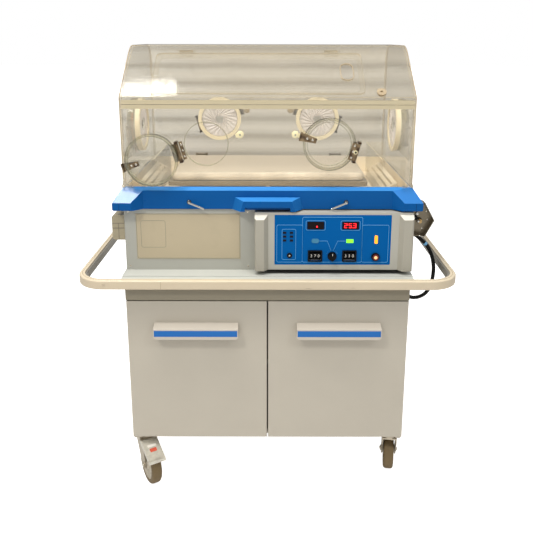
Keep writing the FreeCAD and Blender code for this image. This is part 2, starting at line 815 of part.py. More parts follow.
def module_handles():
    """Two upright pillars at the ends of the face, with a hollowed inner flank."""
    front = s.hood_front - s.module_proud
    nose = front - s.grip_proud
    z_low = s.module_bottom
    z_high = s.module_top - 6
    middle = (z_low + z_high) / 2
    left = module_left
    inner = fascia_left
    outline = ((left, front), (left, nose + 4), (left + 4, nose), (inner - 12, nose),
               (inner - 5, nose + 8), (inner, front))
    pillar = prism("PillarLeft", "z", outline, middle, z_high - z_low, (((1, 2), 2),))
    right = module_right
    start = fascia_right
    outline = ((right, front), (right, nose + 4), (right - 4, nose), (start + 12, nose),
               (start + 5, nose + 8), (start, front))
    other = prism("PillarRight", "z", outline, middle, z_high - z_low, (((1, 2), 2),))
    slope = ((nose - 1, z_high + 1), (nose - 1, z_high - 14), (front, z_high + 1))
    bevel = prism("PillarBevel", "x", slope, (left + right) / 2, right - left + 10)
    piece("module_handles", cut("Pillars", group("PillarPair", pillar, other), bevel))


# The module keeps to the right end of the base, and its blue panel to the module
module_right = s.base_length / 2 - s.module_margin
module_left = module_right - s.module_length
fascia_left = module_left + s.fascia_inset_left
fascia_right = module_right - s.fascia_inset_right
panel_left = fascia_left + s.panel_inset_left
panel_right = fascia_right - s.panel_inset_right

# Controls on the blue panel: places measured from its lower left corner
knob_x = panel_left + 172.4
knob_z = s.panel_bottom + 27.5
jack_x = panel_left + 44.9
jack_z = s.panel_bottom + 29.5
button_x = panel_left + 302.4
button_z = s.panel_bottom + 25.5
wheels_left = panel_left + 121.4
wheels_right = panel_left + 223.9
wheels_z = s.panel_bottom + 28
CONTROL_BORES = (("Knob", 4, knob_x, knob_z, 30), ("Jack", 6, jack_x, jack_z, 24),
                 ("Button", 6, button_x, button_z, 24))


def fascia():
    front = s.hood_front - s.module_proud
    y = (front, front + s.panel_thickness)
    plate = slab_upright("FasciaPlate", (panel_left, panel_right), y, (s.panel_bottom, s.panel_top), 4)
    bores = [rod(f"FasciaBore{name}", "y", radius + 0.5, front - 2, 10, x, 0, height)
             for name, radius, x, height, _ in CONTROL_BORES]
    for name, x in (("Left", wheels_left), ("Right", wheels_right)):
        half = s.wheel_block_width / 2 - 4
        bores.append(block(f"FasciaWell{name}", (x - half, x + half), (front - 2, front + 8),
                           (wheels_z - 14.5, wheels_z + 14.5)))
    piece("control_fascia", cut("Fascia", plate, *bores))


def slab_upright(name, x, y, z, radius):
    """A plate facing the front, with its four corners rounded."""
    outline = ((x[0], z[0]), (x[1], z[0]), (x[1], z[1]), (x[0], z[1]))
    return prism(name, "y", outline, (y[0] + y[1]) / 2, y[1] - y[0], (((0, 1, 2, 3), radius),))


def fascia_fittings():
    """Display windows, lamp lenses, the sensor jack and the thumbwheel frames."""
    front = s.hood_front - s.module_proud
    items = []
    display_z = (s.panel_bottom + 111, s.panel_bottom + 134)
    for name, x in (("Left", panel_left + 121.9), ("Right", panel_left + 225.4)):
        items.append(slab_upright(f"Display{name}", (x - 25, x + 25), (front - 1.5, front), display_z, 1.5))
    for name, x in (("Left", wheels_left), ("Right", wheels_right)):
        half = s.wheel_block_width / 2
        tall = s.wheel_block_height / 2
        frame = slab_upright(f"WheelFrame{name}", (x - half, x + half), (front - 4, front),
                             (wheels_z - tall, wheels_z + tall), 2)
        hole = block(f"WheelHole{name}", (x - half + 4, x + half - 4), (front - 6, front + 2),
                     (wheels_z - 14.5, wheels_z + 14.5))
        items.append(cut(f"WheelBezel{name}", frame, hole))
    for column in range(2):
        for row in range(3):
            x = panel_left + 29.9 + 20.5 * column
            z = s.panel_bottom + 100 - 12 * row
            items.append(block(f"AlarmLens{column}{row}", (x - 5, x + 5), (front - 1, front),
                               (z - 3.2, z + 3.2)))
    items.append(slab_upright("ModeLensLeft", (panel_left + 110.4, panel_left + 132.4), (front - 1.2, front),
                              (s.panel_bottom + 68, s.panel_bottom + 82), 6))
    items.append(block("ModeLensRight", (panel_left + 214.4, panel_left + 234.9), (front - 1.2, front),
                       (s.panel_bottom + 69, s.panel_bottom + 80)))
    items.append(slab_upright("PowerLens", (panel_left + 297.9, panel_left + 307.4), (front - 2.5, front),
                              (s.panel_bottom + 67, s.panel_bottom + 92), 3))
    jack_ring = rod("JackRing", "y", 8, front - 3, 3, jack_x, 0, jack_z)
    jack_plug = rod("JackBarrel", "y", 6, front - 3, 24, jack_x, 0, jack_z)
    jack_hole = rod("JackHole", "y", 3, front - 4, 16, jack_x, 0, jack_z)
    items.append(cut("Jack", fuse("JackBody", jack_ring, jack_plug), jack_hole))
    items.append(cut("ButtonCollar", rod("ButtonCollarOuter", "y", 12.5, front - 5, 5, button_x, 0, button_z),
                     rod("ButtonCollarBore", "y", s.button_radius + 0.4, front - 6, 7, button_x, 0, button_z)))
    piece("fascia_fittings", group("FasciaFittings", *items))


def controls():
    front = s.hood_front - s.module_proud
    skirt = rod("KnobSkirt", "y", s.knob_radius, front - 4.5, 4, knob_x, 0, knob_z)
    cap = rod("KnobCap", "y", s.knob_radius - 3, front - s.knob_height, s.knob_height - 1, knob_x, 0, knob_z)
    spindle = rod("KnobSpindle", "y", 4, front - 1, 26, knob_x, 0, knob_z)
    wing = block("KnobWing", (knob_x - 2.5, knob_x + 2.5), (front - s.knob_height - 3, front - 4),
                 (knob_z - s.knob_radius + 2, knob_z + s.knob_radius + 1))
    piece("mode_knob", fuse("ModeKnob", skirt, cap, spindle, wing))
    head = rod("ButtonHead", "y", s.button_radius, front - s.button_height, s.button_height - s.button_travel - 0.6,
               button_x, 0, button_z)
    post = rod("ButtonPost", "y", 6, front - s.button_travel - 1, 20, button_x, 0, button_z)
    piece("alarm_button", fuse("AlarmButton", head, post))
    for name, x in (("left", wheels_left), ("right", wheels_right)):
        half = s.wheel_block_width / 2 - 5
        drum = []
        for index in range(3):
            start = x - half + index * (half * 2) / 3 + 0.5
            drum.append(rod(f"SetWheel{name}{index}", "x", s.setpoint_wheel_radius, start, half * 2 / 3 - 1,
                            0, front + s.wheels_sink, wheels_z))
        drum.append(rod(f"SetShaft{name}", "x", 9, x - half, half * 2, 0, front + s.wheels_sink, wheels_z))
        bore = rod(f"SetBore{name}", "x", s.pivot_radius + s.running_fit, x - 40, 80, 0,
                   front + s.wheels_sink, wheels_z)
        piece(f"setpoint_wheels_{name}", cut(f"SetWheels{name}", fuse(f"SetDrum{name}", *drum), bore))


# Blue skirt: sloped moulding round the deck with a recessed front and a pull grip
def rectangle(half, y_low, y_high, z):
    """A closed level outline, symmetric about the middle plane."""
    corners = [Vector(-half, y_low, z), Vector(half, y_low, z), Vector(half, y_high, z),
               Vector(-half, y_high, z)]
    return Part.makePolygon(corners + corners[:1])


def deck_skirt():
    front = number_of(s.hood_front)
    back = number_of(hood_back)
    half = number_of(hood_half)
    low_front = front - number_of(s.skirt_front)
    low_back = back + number_of(s.skirt_back)
    low_half = half + number_of(s.skirt_side)
    top = rectangle(half, front, back, s.skirt_top)
    knee = rectangle(low_half, low_front, low_back, s.skirt_knee)
    foot = rectangle(low_half, low_front, low_back, s.skirt_bottom)
    slope = Part.makeLoft([knee, top], True, True)
    band = Part.makeLoft([foot, knee], True, True)
    moulding = slope.fuse(band).removeSplitter()
    foot_edges = [edge for edge in moulding.Edges if edge.BoundBox.ZMax < number_of(s.skirt_bottom) + 0.1]
    moulding = moulding.makeFillet(6, foot_edges)
    recess_y = front - number_of(s.recess_depth)
    wide = number_of(s.recess_half)
    flare = wide + number_of(s.recess_flare)
    nose = low_front - 2
    corners = [Vector(-wide, recess_y, 0), Vector(wide, recess_y, 0), Vector(flare, nose, 0),
               Vector(-flare, nose, 0)]
    recess = Part.Face(Part.makePolygon(corners + corners[:1])).extrude(Vector(0, 0, 2000))
    moulding = moulding.cut(recess)
    moulding = moulding.fuse(pull_grip(recess_y)).removeSplitter()
    opening_half = half - number_of(s.hood_wall) - 0.5
    room_front = front + number_of(s.hood_wall) + 0.5
    room_back = back - number_of(s.hood_wall) - 0.5
    ledge_top = number_of(s.floor_top) - number_of(s.floor_thickness)
    depth = room_back - room_front
    foot_box = Part.makeBox(half * 2 - 8, back - front - 8, 10, Vector(-half + 4, front + 4, s.base_top))
    room = Part.makeBox(opening_half * 2, depth, 200, Vector(-opening_half, room_front, ledge_top))
    ledge = number_of(s.skirt_ledge)
    well = Part.makeBox(opening_half * 2 - ledge * 2, depth - ledge * 2, 50,
                        Vector(-opening_half + ledge, room_front + ledge, ledge_top - 25))
    moulding = moulding.fuse(foot_box).cut(room).cut(well).removeSplitter()
    bore = number_of(s.crank_radius) + number_of(s.running_fit)
    for side in (-1, 1):
        hole = Part.makeCylinder(bore, 60, Vector(side * number_of(s.crank_place), recess_y - 5,
                                                  s.crank_height), Vector(0, 1, 0))
        moulding = moulding.cut(hole)
    piece("deck_skirt", form("Skirt", moulding))


def pull_grip(recess_y):
    """Trapezoid pull in the middle of the front, with a finger scoop between two ears."""
    wide = number_of(s.pull_half)
    narrow = number_of(s.pull_nose_half)
    top = number_of(s.pull_top)
    low = number_of(s.skirt_bottom)
    reach = number_of(s.pull_reach)

    def section(y, half, height, flare):
        corners = [Vector(-half, y, height), Vector(half, y, height), Vector(half + flare, y, low),
                   Vector(-half - flare, y, low)]
        return Part.makePolygon(corners + corners[:1])

    nose = recess_y - reach
    solid = Part.makeLoft([section(recess_y + 1, wide, top, 9), section(nose, narrow, top - 5, 9)], True, True)
    scoop = Part.makeBox(narrow * 2 - 8, reach - 10, 13, Vector(-narrow + 4, nose - 1, low - 1))
    return solid.cut(scoop)


def cranks():
    """Chrome tilt cranks: a shaft through the skirt, a bent arm and a turned-out tip."""
    radius = number_of(s.crank_radius)
    front = number_of(s.hood_front) - number_of(s.recess_depth)
    height = number_of(s.crank_height)
    place_x = number_of(s.crank_place)
    arm = number_of(s.crank_arm)
    arm_radius = number_of(s.crank_arm_radius)
    knee = Vector(-place_x, front - 10, height)
    reach = math.radians(-20)
    tip = knee + Vector(arm * math.cos(reach), -8, arm * math.sin(reach))
    shaft = Part.makeCylinder(radius, 100, Vector(-place_x, front - 10, height), Vector(0, 1, 0))
    bend = Part.makeSphere(radius, knee)
    rod_arm = Part.makeCylinder(arm_radius, (tip - knee).Length, knee, tip - knee)
    end = Part.makeSphere(arm_radius, tip)
    cam = Part.makeBox(10, 16, 8, Vector(-place_x, front + 74, height - 4))
    left = shaft.fuse([bend, rod_arm, end, cam]).removeSplitter()
    item = form("CrankLeft", left)
    piece("tilt_crank_left", item)
    piece("tilt_crank_right", mirrored("CrankRight", item))


# Inside the hood: cream floor with warm-air ramps, clear end baffles, mattress on a tilting tray
def inner_deck():
    half = hood_half - s.hood_wall - 1
    y = (s.hood_front + s.hood_wall + 1, hood_back - s.hood_wall - 1)
    low = s.floor_top - s.floor_thickness
    floor = slab("FloorPlate", (-half, half), y, (low, s.floor_top), 5)
    end = s.ramp_end
    outline = ((s.ramp_start, low + 1), (end, low + 1), (end, s.ramp_high), (s.ramp_start, s.ramp_low))
    ramp_y = (s.baffle_front + 5, s.baffle_back - 5)
    ramp = prism("FloorRamp", "y", outline, (ramp_y[0] + ramp_y[1]) / 2, ramp_y[1] - ramp_y[0])
    duct = block("FloorDuct", (s.ramp_start + 5, end - 5), (ramp_y[0] + 8, ramp_y[1] - 8),
                 (0, s.ramp_low - 6))
    slots = []
    for index in range(2):
        x = s.ramp_start + 14 + 16 * index
        slots.append(block(f"FloorSlot{index}", (x - 3, x + 3), (ramp_y[0] + 20, ramp_y[1] - 20), (900, 980)))
    side = cut("FloorEnd", ramp, duct, *slots)
    vents = block("FloorVent", (s.ramp_start + 5, end - 5), (ramp_y[0] + 8, ramp_y[1] - 8), (800, 900))
    vents_both = both_sides("FloorVents", vents)
    plate = cut("FloorCut", floor, vents_both)
    pillar = block("TiltPillar", (-5, 5), (-100, -90), (s.floor_top - 1, s.tilt_height))
    pillar_back = block("TiltPillarBack", (-5, 5), (160, 170), (s.floor_top - 1, s.tilt_height))
    bar = rod("TiltBar", "y", s.tilt_radius, -100, 270, 0, 0, s.tilt_height)
    piece("inner_deck", fuse("InnerDeck", plate, side, mirrored("FloorEndOther", side), pillar,
                             pillar_back, bar))


def end_baffles():
    """Clear three-sided screens that stand on the floor round each warm-air ramp."""
    half = hood_half - s.hood_wall - 2
    x = (s.baffle_place, half)
    y = (s.baffle_front, s.baffle_back)
    z = (s.floor_top, end_port_height - s.baffle_drop)
    outer = block("BaffleOuter", x, y, z)
    wall = s.baffle_wall
    room = block("BaffleRoom", (x[0] + wall, x[1] + 10), (y[0] + wall, y[1] - wall), (z[0] - 5, z[1] + 5))
    screen = cut("BaffleRight", outer, room)
    piece("end_baffles", both_sides("Baffles", screen))


def mattress_set():
    half = s.tray_length / 2
    middle_y = 33.5
    y = (middle_y - s.tray_depth / 2, middle_y + s.tray_depth / 2)
    z = (s.tray_bottom, s.tray_bottom + s.tray_thickness)
    plate = slab("TrayPlate", (-half, half), y, z, 10)
    boss_y = (-86, 156)
    boss = block("TrayBoss", (-11, 11), boss_y, (s.tilt_height - 2, s.tray_bottom + 1))
    bore = rod("TrayBore", "y", s.tilt_radius + s.running_fit, -110, 300, 0, 0, s.tilt_height)
    piece("mattress_tray", cut("MattressTray", fuse("TraySolid", plate, boss), bore))
    rest = s.mattress_length / 2
    pad_y = (middle_y - s.mattress_depth / 2, middle_y + s.mattress_depth / 2)
    top = z[1] + 0.3 + s.mattress_height
    piece("mattress", slab("Mattress", (-rest, rest), pad_y, (z[1] + 0.3, top), 14))


# Ports: a door drawn with the wall's outer face at y = 0, outward along +y, hinge at -x
def port_door_form(tag, radius):
    """Clear cup with a metal hinge leaf and a tapered latch strap on its face."""
    stand = s.port_stand
    plate_top = stand + s.port_plate
    disc = rod(f"{tag}Disc", "y", radius, stand, s.port_plate)
    skirt = cut(f"{tag}Rim", rod(f"{tag}RimOuter", "y", radius, s.port_gap, stand - s.port_gap + 1),
                rod(f"{tag}RimInner", "y", radius - s.port_rim, 0, stand))
    cup = fuse(f"{tag}Cup", disc, skirt)
    axis_x = -radius - s.hinge_offset
    leaf = block(f"{tag}Leaf", (axis_x + 1, axis_x + 20), (plate_top, plate_top + 2), (-26, 26))
    knuckle = rod(f"{tag}Knuckle", "z", 5, -26, 52, axis_x, s.hinge_axis_stand)
    bridge = block(f"{tag}Bridge", (axis_x - 1, axis_x + 5), (s.hinge_axis_stand, plate_top + 2), (-26, 26))
    bore = rod(f"{tag}Bore", "z", 2.5 + s.running_fit, -40, 80, axis_x, s.hinge_axis_stand)
    hinge = cut(f"{tag}Hinge", fuse(f"{tag}HingeSolid", leaf, knuckle, bridge), bore)
    end = radius + 13
    outline = ((end - 50, -7), (end, -13), (end, 13), (end - 50, 7))
    strap_face = prism(f"{tag}StrapFace", "y", outline, plate_top + 1, 2)
    hook = block(f"{tag}StrapHook", (end - 3, end), (6, plate_top + 2), (-13, 13))
    strap = fuse(f"{tag}Strap", strap_face, hook)
    return group(f"{tag}Door", cup, hinge, strap)


def port_fixings(tag, radius, hole):
    """What the wall itself carries: collar, hinge lugs with their pin, drawn like the door."""
    collar = cut(f"{tag}Collar", rod(f"{tag}CollarOuter", "y", hole + s.port_collar, -1, s.port_collar_height + 1),
                 rod(f"{tag}CollarInner", "y", hole, -3, s.port_collar_height + 6))
    axis_x = -radius - s.hinge_offset
    lug = block(f"{tag}Lug", (axis_x - 5, axis_x + 5), (-0.5, s.hinge_axis_stand + 5), (26.6, 32))
    low = block(f"{tag}LugLow", (axis_x - 5, axis_x + 5), (-0.5, s.hinge_axis_stand + 5), (-32, -26.6))
    pin = rod(f"{tag}Pin", "z", 2.5, -32, 64, axis_x, s.hinge_axis_stand)
    return fuse(f"{tag}Fixings", collar, lug, low, pin)


def catch_form(tag, radius):
    """Cream turn catch beside the latch strap: round cap on a short post."""
    post_x = radius + 27
    cap = rod(f"{tag}CatchCap", "y", 10.5, 5, 9, post_x)
    post = rod(f"{tag}CatchPost", "y", 6, 0, 6, post_x)
    beak = block(f"{tag}CatchBeak", (radius + 14, post_x), (8, 13), (-6, 6))
    return fuse(f"{tag}Catch", cap, post, beak)


def facing(outward, level, slant, spot):
    """Placement that stands a wall form at spot, outward and level being wall directions."""
    angle = math.radians(slant)
    up = Vector(0, 0, 1)
    along = level * math.cos(angle) + up * math.sin(angle)
    across = along.cross(outward)
    turn = FreeCAD.Matrix(along.x, outward.x, across.x, spot.x, along.y, outward.y, across.y, spot.y,
                          along.z, outward.z, across.z, spot.z, 0, 0, 0, 1)
    return Placement(turn)


def put(name, source, spot):
    item = group(name, source)
    item.Placement = spot
    return item


FRONT = Vector(0, -1, 0)
BACK = Vector(0, 1, 0)
RIGHT = Vector(1, 0, 0)
LEFT = Vector(-1, 0, 0)


def port_spots():
    """Name, size, placement and whether the door stands open, for each of the six ports."""
    slant = number_of(s.port_slant)
    x = number_of(port_place)
    front = number_of(s.hood_front)
    back = number_of(hood_back)
    half = number_of(hood_half)
    middle = number_of(hood_middle)
    z_front = number_of(front_port_height)
    z_rear = number_of(rear_port_height)
    z_end = number_of(end_port_height)
    return (
        ("front_left", "small", facing(FRONT, RIGHT, slant, Vector(-x, front, z_front)), True),
        ("front_right", "small", facing(FRONT, LEFT, slant, Vector(x, front, z_front)), False),
        ("rear_left", "small", facing(BACK, RIGHT, slant, Vector(-x, back, z_rear)), False),
        ("rear_right", "small", facing(BACK, LEFT, slant, Vector(x, back, z_rear)), False),
        ("end_left", "large", facing(LEFT, BACK, slant, Vector(-half, middle, z_end)), False),
        ("end_right", "large", facing(RIGHT, BACK, slant, Vector(half, middle, z_end)), False),
    )


def port_size(kind):
    if kind == "small":
        return s.port_radius, s.port_hole
    return s.end_port_radius, s.end_port_hole


def swung_open(spot, radius):
    """The same placement turned half a turn about the hinge line."""
    axis_x = -number_of(radius) - number_of(s.hinge_offset)
    pin = spot.multVec(Vector(axis_x, number_of(s.hinge_axis_stand), 0))
    direction = spot.Rotation.multVec(Vector(0, 0, 1))
    return Placement(Vector(), Rotation(direction, 180), pin).multiply(spot)


def port_doors():
    sources = {kind: port_door_form(tag, port_size(kind)[0])
               for kind, tag in (("small", "PortSmall"), ("large", "PortLarge"))}
    for name, kind, spot, is_open in port_spots():
        resting = swung_open(spot, port_size(kind)[0]) if is_open else spot
        piece(f"port_door_{name}", put(f"PortDoor_{name}", sources[kind], resting))


# Clear hood: bent sheet with end walls, open below and at the front
def hood_profile():
    """Outline of the end view from the front foot, up over the ridge, down the back."""
    front = s.hood_front
    slope = s.ridge_rise / s.ridge_run
    ridge_y = front + (roof_height - bend_height) / slope
    return ((front, hood_foot), (front, bend_height), (ridge_y, roof_height),
            (hood_back, roof_height), (hood_back, hood_foot))


def slope_frame():
    """Placement of the sloped roof panel: x along the hood, y up the slope, z outward."""
    angle = math.degrees(math.atan2(number_of(s.ridge_rise), number_of(s.ridge_run)))
    spot = Vector(0, number_of(s.hood_front), number_of(bend_height))
    return Placement(spot, Rotation(Vector(1, 0, 0), angle))


def hood():
    rounds = (((1,), s.bend_round), ((2,), s.ridge_round), ((3,), s.back_round))
    shell = prism("HoodShell", "x", hood_profile(), 0, s.hood_length, rounds)
    last = shell.Tip
    low_face = [f"Face{number}" for number, face in enumerate(last.Shape.Faces, start=1)
                if face.BoundBox.ZMax < number_of(s.skirt_top) + 1]
    thick = shell.newObject("PartDesign::Thickness", "HoodThickness")
    thick.Base = (last, low_face)
    bind(thick, "Value", s.hood_wall)
    thick.Reversed = True
    doc.recompute()
    inside = hood_half - s.hood_wall
    mouth = block("HoodMouth", (-inside, inside), (s.hood_front - 5, s.hood_front + s.hood_wall + 2),
                  (900, lip_height))
    tools = [mouth]
    fixings = []
    for name, kind, spot, _ in port_spots():
        if name.startswith("front"):
            continue
        radius, hole = port_size(kind)
        tools.append(put(f"HoodHole_{name}", rod(f"HoodHoleTool_{name}", "y", hole, -30, 60), spot))
        fixings.append(put(f"HoodFixing_{name}", port_fixings(f"Wall_{name}", radius, hole), spot))
    flap_hole = slab("FlapHole", (s.flap_left + s.flap_lap, s.flap_right - s.flap_lap),
                     (s.flap_low + s.flap_lap, s.flap_high - s.flap_lap), (-20, 20), 14)
    flap_tool = group("FlapHoleSet", flap_hole)
    flap_tool.Placement = slope_frame()
    tools.append(flap_tool)
    grommet = rod("GrommetHole", "z", 9, -20, 40, 330, 20)
    grommet_tool = group("GrommetHoleSet", grommet)
    grommet_tool.Placement = slope_frame()
    tools.append(grommet_tool)
    open_shell = cut("HoodOpen", shell, *tools)
    lug = hood_lug()
    ear = panel_ear()
    piece("hood_shell", fuse("Hood", open_shell, lug, mirrored("HoodLugOther", lug), ear,
                             mirrored("PanelEarOther", ear), flap_lugs(), *fixings))


def hinge_y():
    return hood_back + s.hood_hinge_back


def hood_lug():
    """Bored lug at the hood's back foot, which turns on the hinge pin."""
    x = (s.hinge_place - 15, s.hinge_place + 15)
    z = (hood_foot, s.hood_hinge_height + 6)
    body = block("HoodLugBody", x, (hood_back - 1, hinge_y() + 5.5), z)
    bore = rod("HoodLugBore", "x", s.hinge_pin + s.running_fit, s.hinge_place - 30, 60, 0, hinge_y(),
               s.hood_hinge_height)
    return cut("HoodLug", body, bore)


def hood_hinges():
    """Two round-headed cheeks and a pin on the back of the skirt at each side."""
    cheeks = []
    head = s.hood_hinge_back - 1
    foot = s.skirt_top - s.cheek_foot
    for index, start in enumerate((s.hinge_place - 15.4 - s.cheek_wall, s.hinge_place + 15.4)):
        cheeks.append(block(f"HingeCheek{index}", (start, start + s.cheek_wall),
                            (hinge_y() - head, hinge_y() + head), (foot, s.hood_hinge_height)))
        cheeks.append(rod(f"HingeHead{index}", "x", head, start, s.cheek_wall, 0, hinge_y(),
                          s.hood_hinge_height))
    trimmed = cut("HingeTrim", fuse("HingeCheeks", *cheeks), skirt_item())
    pin = rod("HingePin", "x", s.hinge_pin, s.hinge_place - 22, 44, 0, hinge_y(), s.hood_hinge_height)
    piece("hood_hinges", both_sides("HoodHinges", fuse("HingeSet", trimmed, pin)))


def skirt_item():
    return [item for item in pieces if item.Label == "deck_skirt"][0]


def panel_ear():
    """Rounded ear at the hood's front foot with the pin that the access panel turns on."""
    axis_y = s.hood_front - s.panel_axis_forward
    height = s.panel_axis_height
    inner = hood_half - 16
    knob = rod("PanelEarKnob", "x", 4.4, inner, 16, 0, axis_y, height)
    root = block("PanelEarRoot", (hood_half - s.hood_wall + 0.6, hood_half), (axis_y, s.hood_front + 8),
                 (height - 4.4, height + 4.4))
    pin = rod("PanelEarPin", "x", s.hinge_pin, hood_half - 30, 20, 0, axis_y, height)
    return fuse("PanelEar", knob, root, pin)


def seals():
    """Cream two-part edge trim: upper half on the hood, lower half on the panel."""
    half = hood_half - s.hood_wall - 0.3
    y = (s.hood_front - s.seal_proud, s.hood_front + s.hood_wall + 1)
    top = lip_height - 1 + s.seal_height
    low = lip_height - 1
    upper = block("SealUpper", (-half, half), y, (low, top))
    lip = block("SealLip", (-half - 5, half + 5), (s.hood_front, s.hood_front + s.hood_wall),
                (lip_height, top + 5))
    piece("hood_edge_seal", cut("HoodSeal", upper, lip))
    panel_half = hood_half - s.hood_wall - s.panel_side_gap
    high = low - s.seal_gap
    lower = block("SealLower", (-panel_half, panel_half), y, (high - s.seal_height, high))
    edge = block("SealEdge", (-panel_half - 5, panel_half + 5), (s.hood_front, s.hood_front + s.hood_wall),
                 (high - s.seal_height - 5, high - 2))
    piece("panel_edge_seal", cut("PanelSeal", lower, edge))


def front_panel():
    half = hood_half - s.hood_wall - s.panel_side_gap
    top = lip_height - 1 - s.seal_gap - 2
    y = (s.hood_front, s.hood_front + s.hood_wall)
    sheet_plate = slab_upright("AccessSheet", (-half, half), y, (s.panel_foot, top), 2)
    axis_y = s.hood_front - s.panel_axis_forward
    lug = block("AccessLug", (hood_half - 34, hood_half - 16.5), (axis_y - 6, s.hood_front + s.hood_wall),
                (s.panel_axis_height - 4, s.panel_axis_height + 6))
    bore = rod("AccessBore", "x", s.hinge_pin + s.running_fit, hood_half - 40, 40, 0, axis_y,
               s.panel_axis_height)
    lug_set = cut("AccessLugCut", lug, bore)
    lugs = both_sides("AccessLugs", lug_set)
    holes = []
    fixings = []
    for name, kind, spot, _ in port_spots():
        if not name.startswith("front"):
            continue
        radius, hole = port_size(kind)
        holes.append(put(f"AccessHole_{name}", rod(f"AccessHoleTool_{name}", "y", hole, -30, 60), spot))
        fixings.append(put(f"AccessFixing_{name}", port_fixings(f"Panel_{name}", radius, hole), spot))
    drilled = cut("AccessDrilled", sheet_plate, *holes)
    piece("front_panel", fuse("FrontPanel", drilled, lugs, *fixings))


def catches():
    """Cream catches: two on the front panel, four on the hood with the tube grommet."""
    sources = {kind: catch_form(tag, port_size(kind)[0])
               for kind, tag in (("small", "CatchSmall"), ("large", "CatchLarge"))}
    on_panel = []
    on_hood = []
    for name, kind, spot, _ in port_spots():
        item = put(f"Catch_{name}", sources[kind], spot)
        if name.startswith("front"):
            on_panel.append(item)
        else:
            on_hood.append(item)
    piece("panel_catches", group("PanelCatches", *on_panel))
    collar = rod("GrommetCollar", "z", 14, 0, 4, 330, 20)
    sleeve = rod("GrommetSleeve", "z", 9, -8, 9, 330, 20)
    bore = rod("GrommetBore", "z", 4, -20, 40, 330, 20)
    grommet = group("Grommet", cut("GrommetRing", fuse("GrommetBody", collar, sleeve), bore))
    grommet.Placement = slope_frame()
    piece("hood_fittings", group("HoodFittings", grommet, *on_hood))


def port_rings():
    """Cream rings inside the four hood ports, and the soft sleeves of the rear two."""
    rings = []
    sleeves = []
    wall = s.hood_wall
    for name, kind, spot, _ in port_spots():
        if name.startswith("front"):
            continue
        outer = s.ring_radius if kind == "small" else s.end_port_radius
        thick = s.ring_thickness if kind == "small" else s.end_ring_thickness
        inner = outer - s.ring_width
        ring = cut(f"Ring_{name}", rod(f"RingOuter_{name}", "y", outer, -wall - thick, thick),
                   rod(f"RingInner_{name}", "y", inner, -wall - thick - 5, thick + 10))
        rings.append(put(f"RingPut_{name}", ring, spot))
        if kind == "small":
            film = cut(f"Sleeve_{name}", rod(f"SleeveOuter_{name}", "y", inner - 0.3, -wall - 8, 3),
                       rod(f"SleeveHole_{name}", "y", s.sleeve_hole, -wall - 20, 30))
            sleeves.append(put(f"SleevePut_{name}", film, spot))
    piece("port_rings", group("PortRings", *rings))
    piece("iris_sleeves", group("IrisSleeves", *sleeves))


def flap_lugs():
    """Lugs and pins on the roof that the lid turns on."""
    items = []
    for index, x in enumerate(flap_hinges()):
        for side in (-1, 1):
            start = x + side * 23.6 - 3
            items.append(block(f"FlapLug{index}{side + 1}", (start, start + 6), (flap_axis - 4, flap_axis + 4),
                               (-1.5, flap_axis_rise + 4)))
        items.append(rod(f"FlapPin{index}", "x", 2, x - 25, 50, 0, flap_axis, flap_axis_rise))
    lugs = group("FlapLugs", fuse("FlapLugSet", *items))
    lugs.Placement = slope_frame()
    return lugs


def flap_hinges():
    return (s.flap_left + 90, s.flap_right - 90)


def roof_flap():
    """Clear lid over the opening in the sloped roof, with an oval finger slot."""
    plate = slab("FlapPlate", (s.flap_left, s.flap_right), (s.flap_low, s.flap_high),
                 (0.4, 0.4 + s.flap_wall), 16)
    slot_y = (s.flap_low + s.flap_high) / 2 + 4
    half = s.slot_width / 2
    straight = s.slot_length / 2 - half
    slot = slab("FlapSlot", (s.slot_place - half, s.slot_place + half),
                (slot_y - straight - half + 0.1, slot_y + straight + half - 0.1), (-5, 15), half - 0.2)
    knuckles = []
    for index, x in enumerate(flap_hinges()):
        leaf = block(f"FlapLeaf{index}", (x - 20, x + 20), (s.flap_high - 16, flap_axis),
                     (0.3 + s.flap_wall, 2.5 + s.flap_wall))
        barrel = rod(f"FlapBarrel{index}", "x", 4, x - 20, 40, 0, flap_axis, flap_axis_rise)
        bore = rod(f"FlapBore{index}", "x", 2 + s.running_fit, x - 40, 80, 0, flap_axis, flap_axis_rise)
        knuckles.append(cut(f"FlapKnuckle{index}", fuse(f"FlapKnuckleSolid{index}", leaf, barrel), bore))
    flap = group("FlapSet", fuse("FlapWhole", cut("Flap", plate, slot), *knuckles))
    flap.Placement = slope_frame()
    piece("roof_flap", flap)


# Mains lead: out of the base at the right, round to the side of the cabinet
def cord_path():
    """Centre line of the lead, from the boot on the base to the boot on the cabinet."""
    return (
        Vector(447, -112, 784),
        Vector(486, -112, 758),
        Vector(521, -113, 722),
        Vector(539, -115, 668),
        Vector(537, -116, 612),
        Vector(523, -117, 572),
        Vector(494, -118, 552.4),
        Vector(459, -119, 554.2),
        Vector(432.2, -120, 576.7),
    )


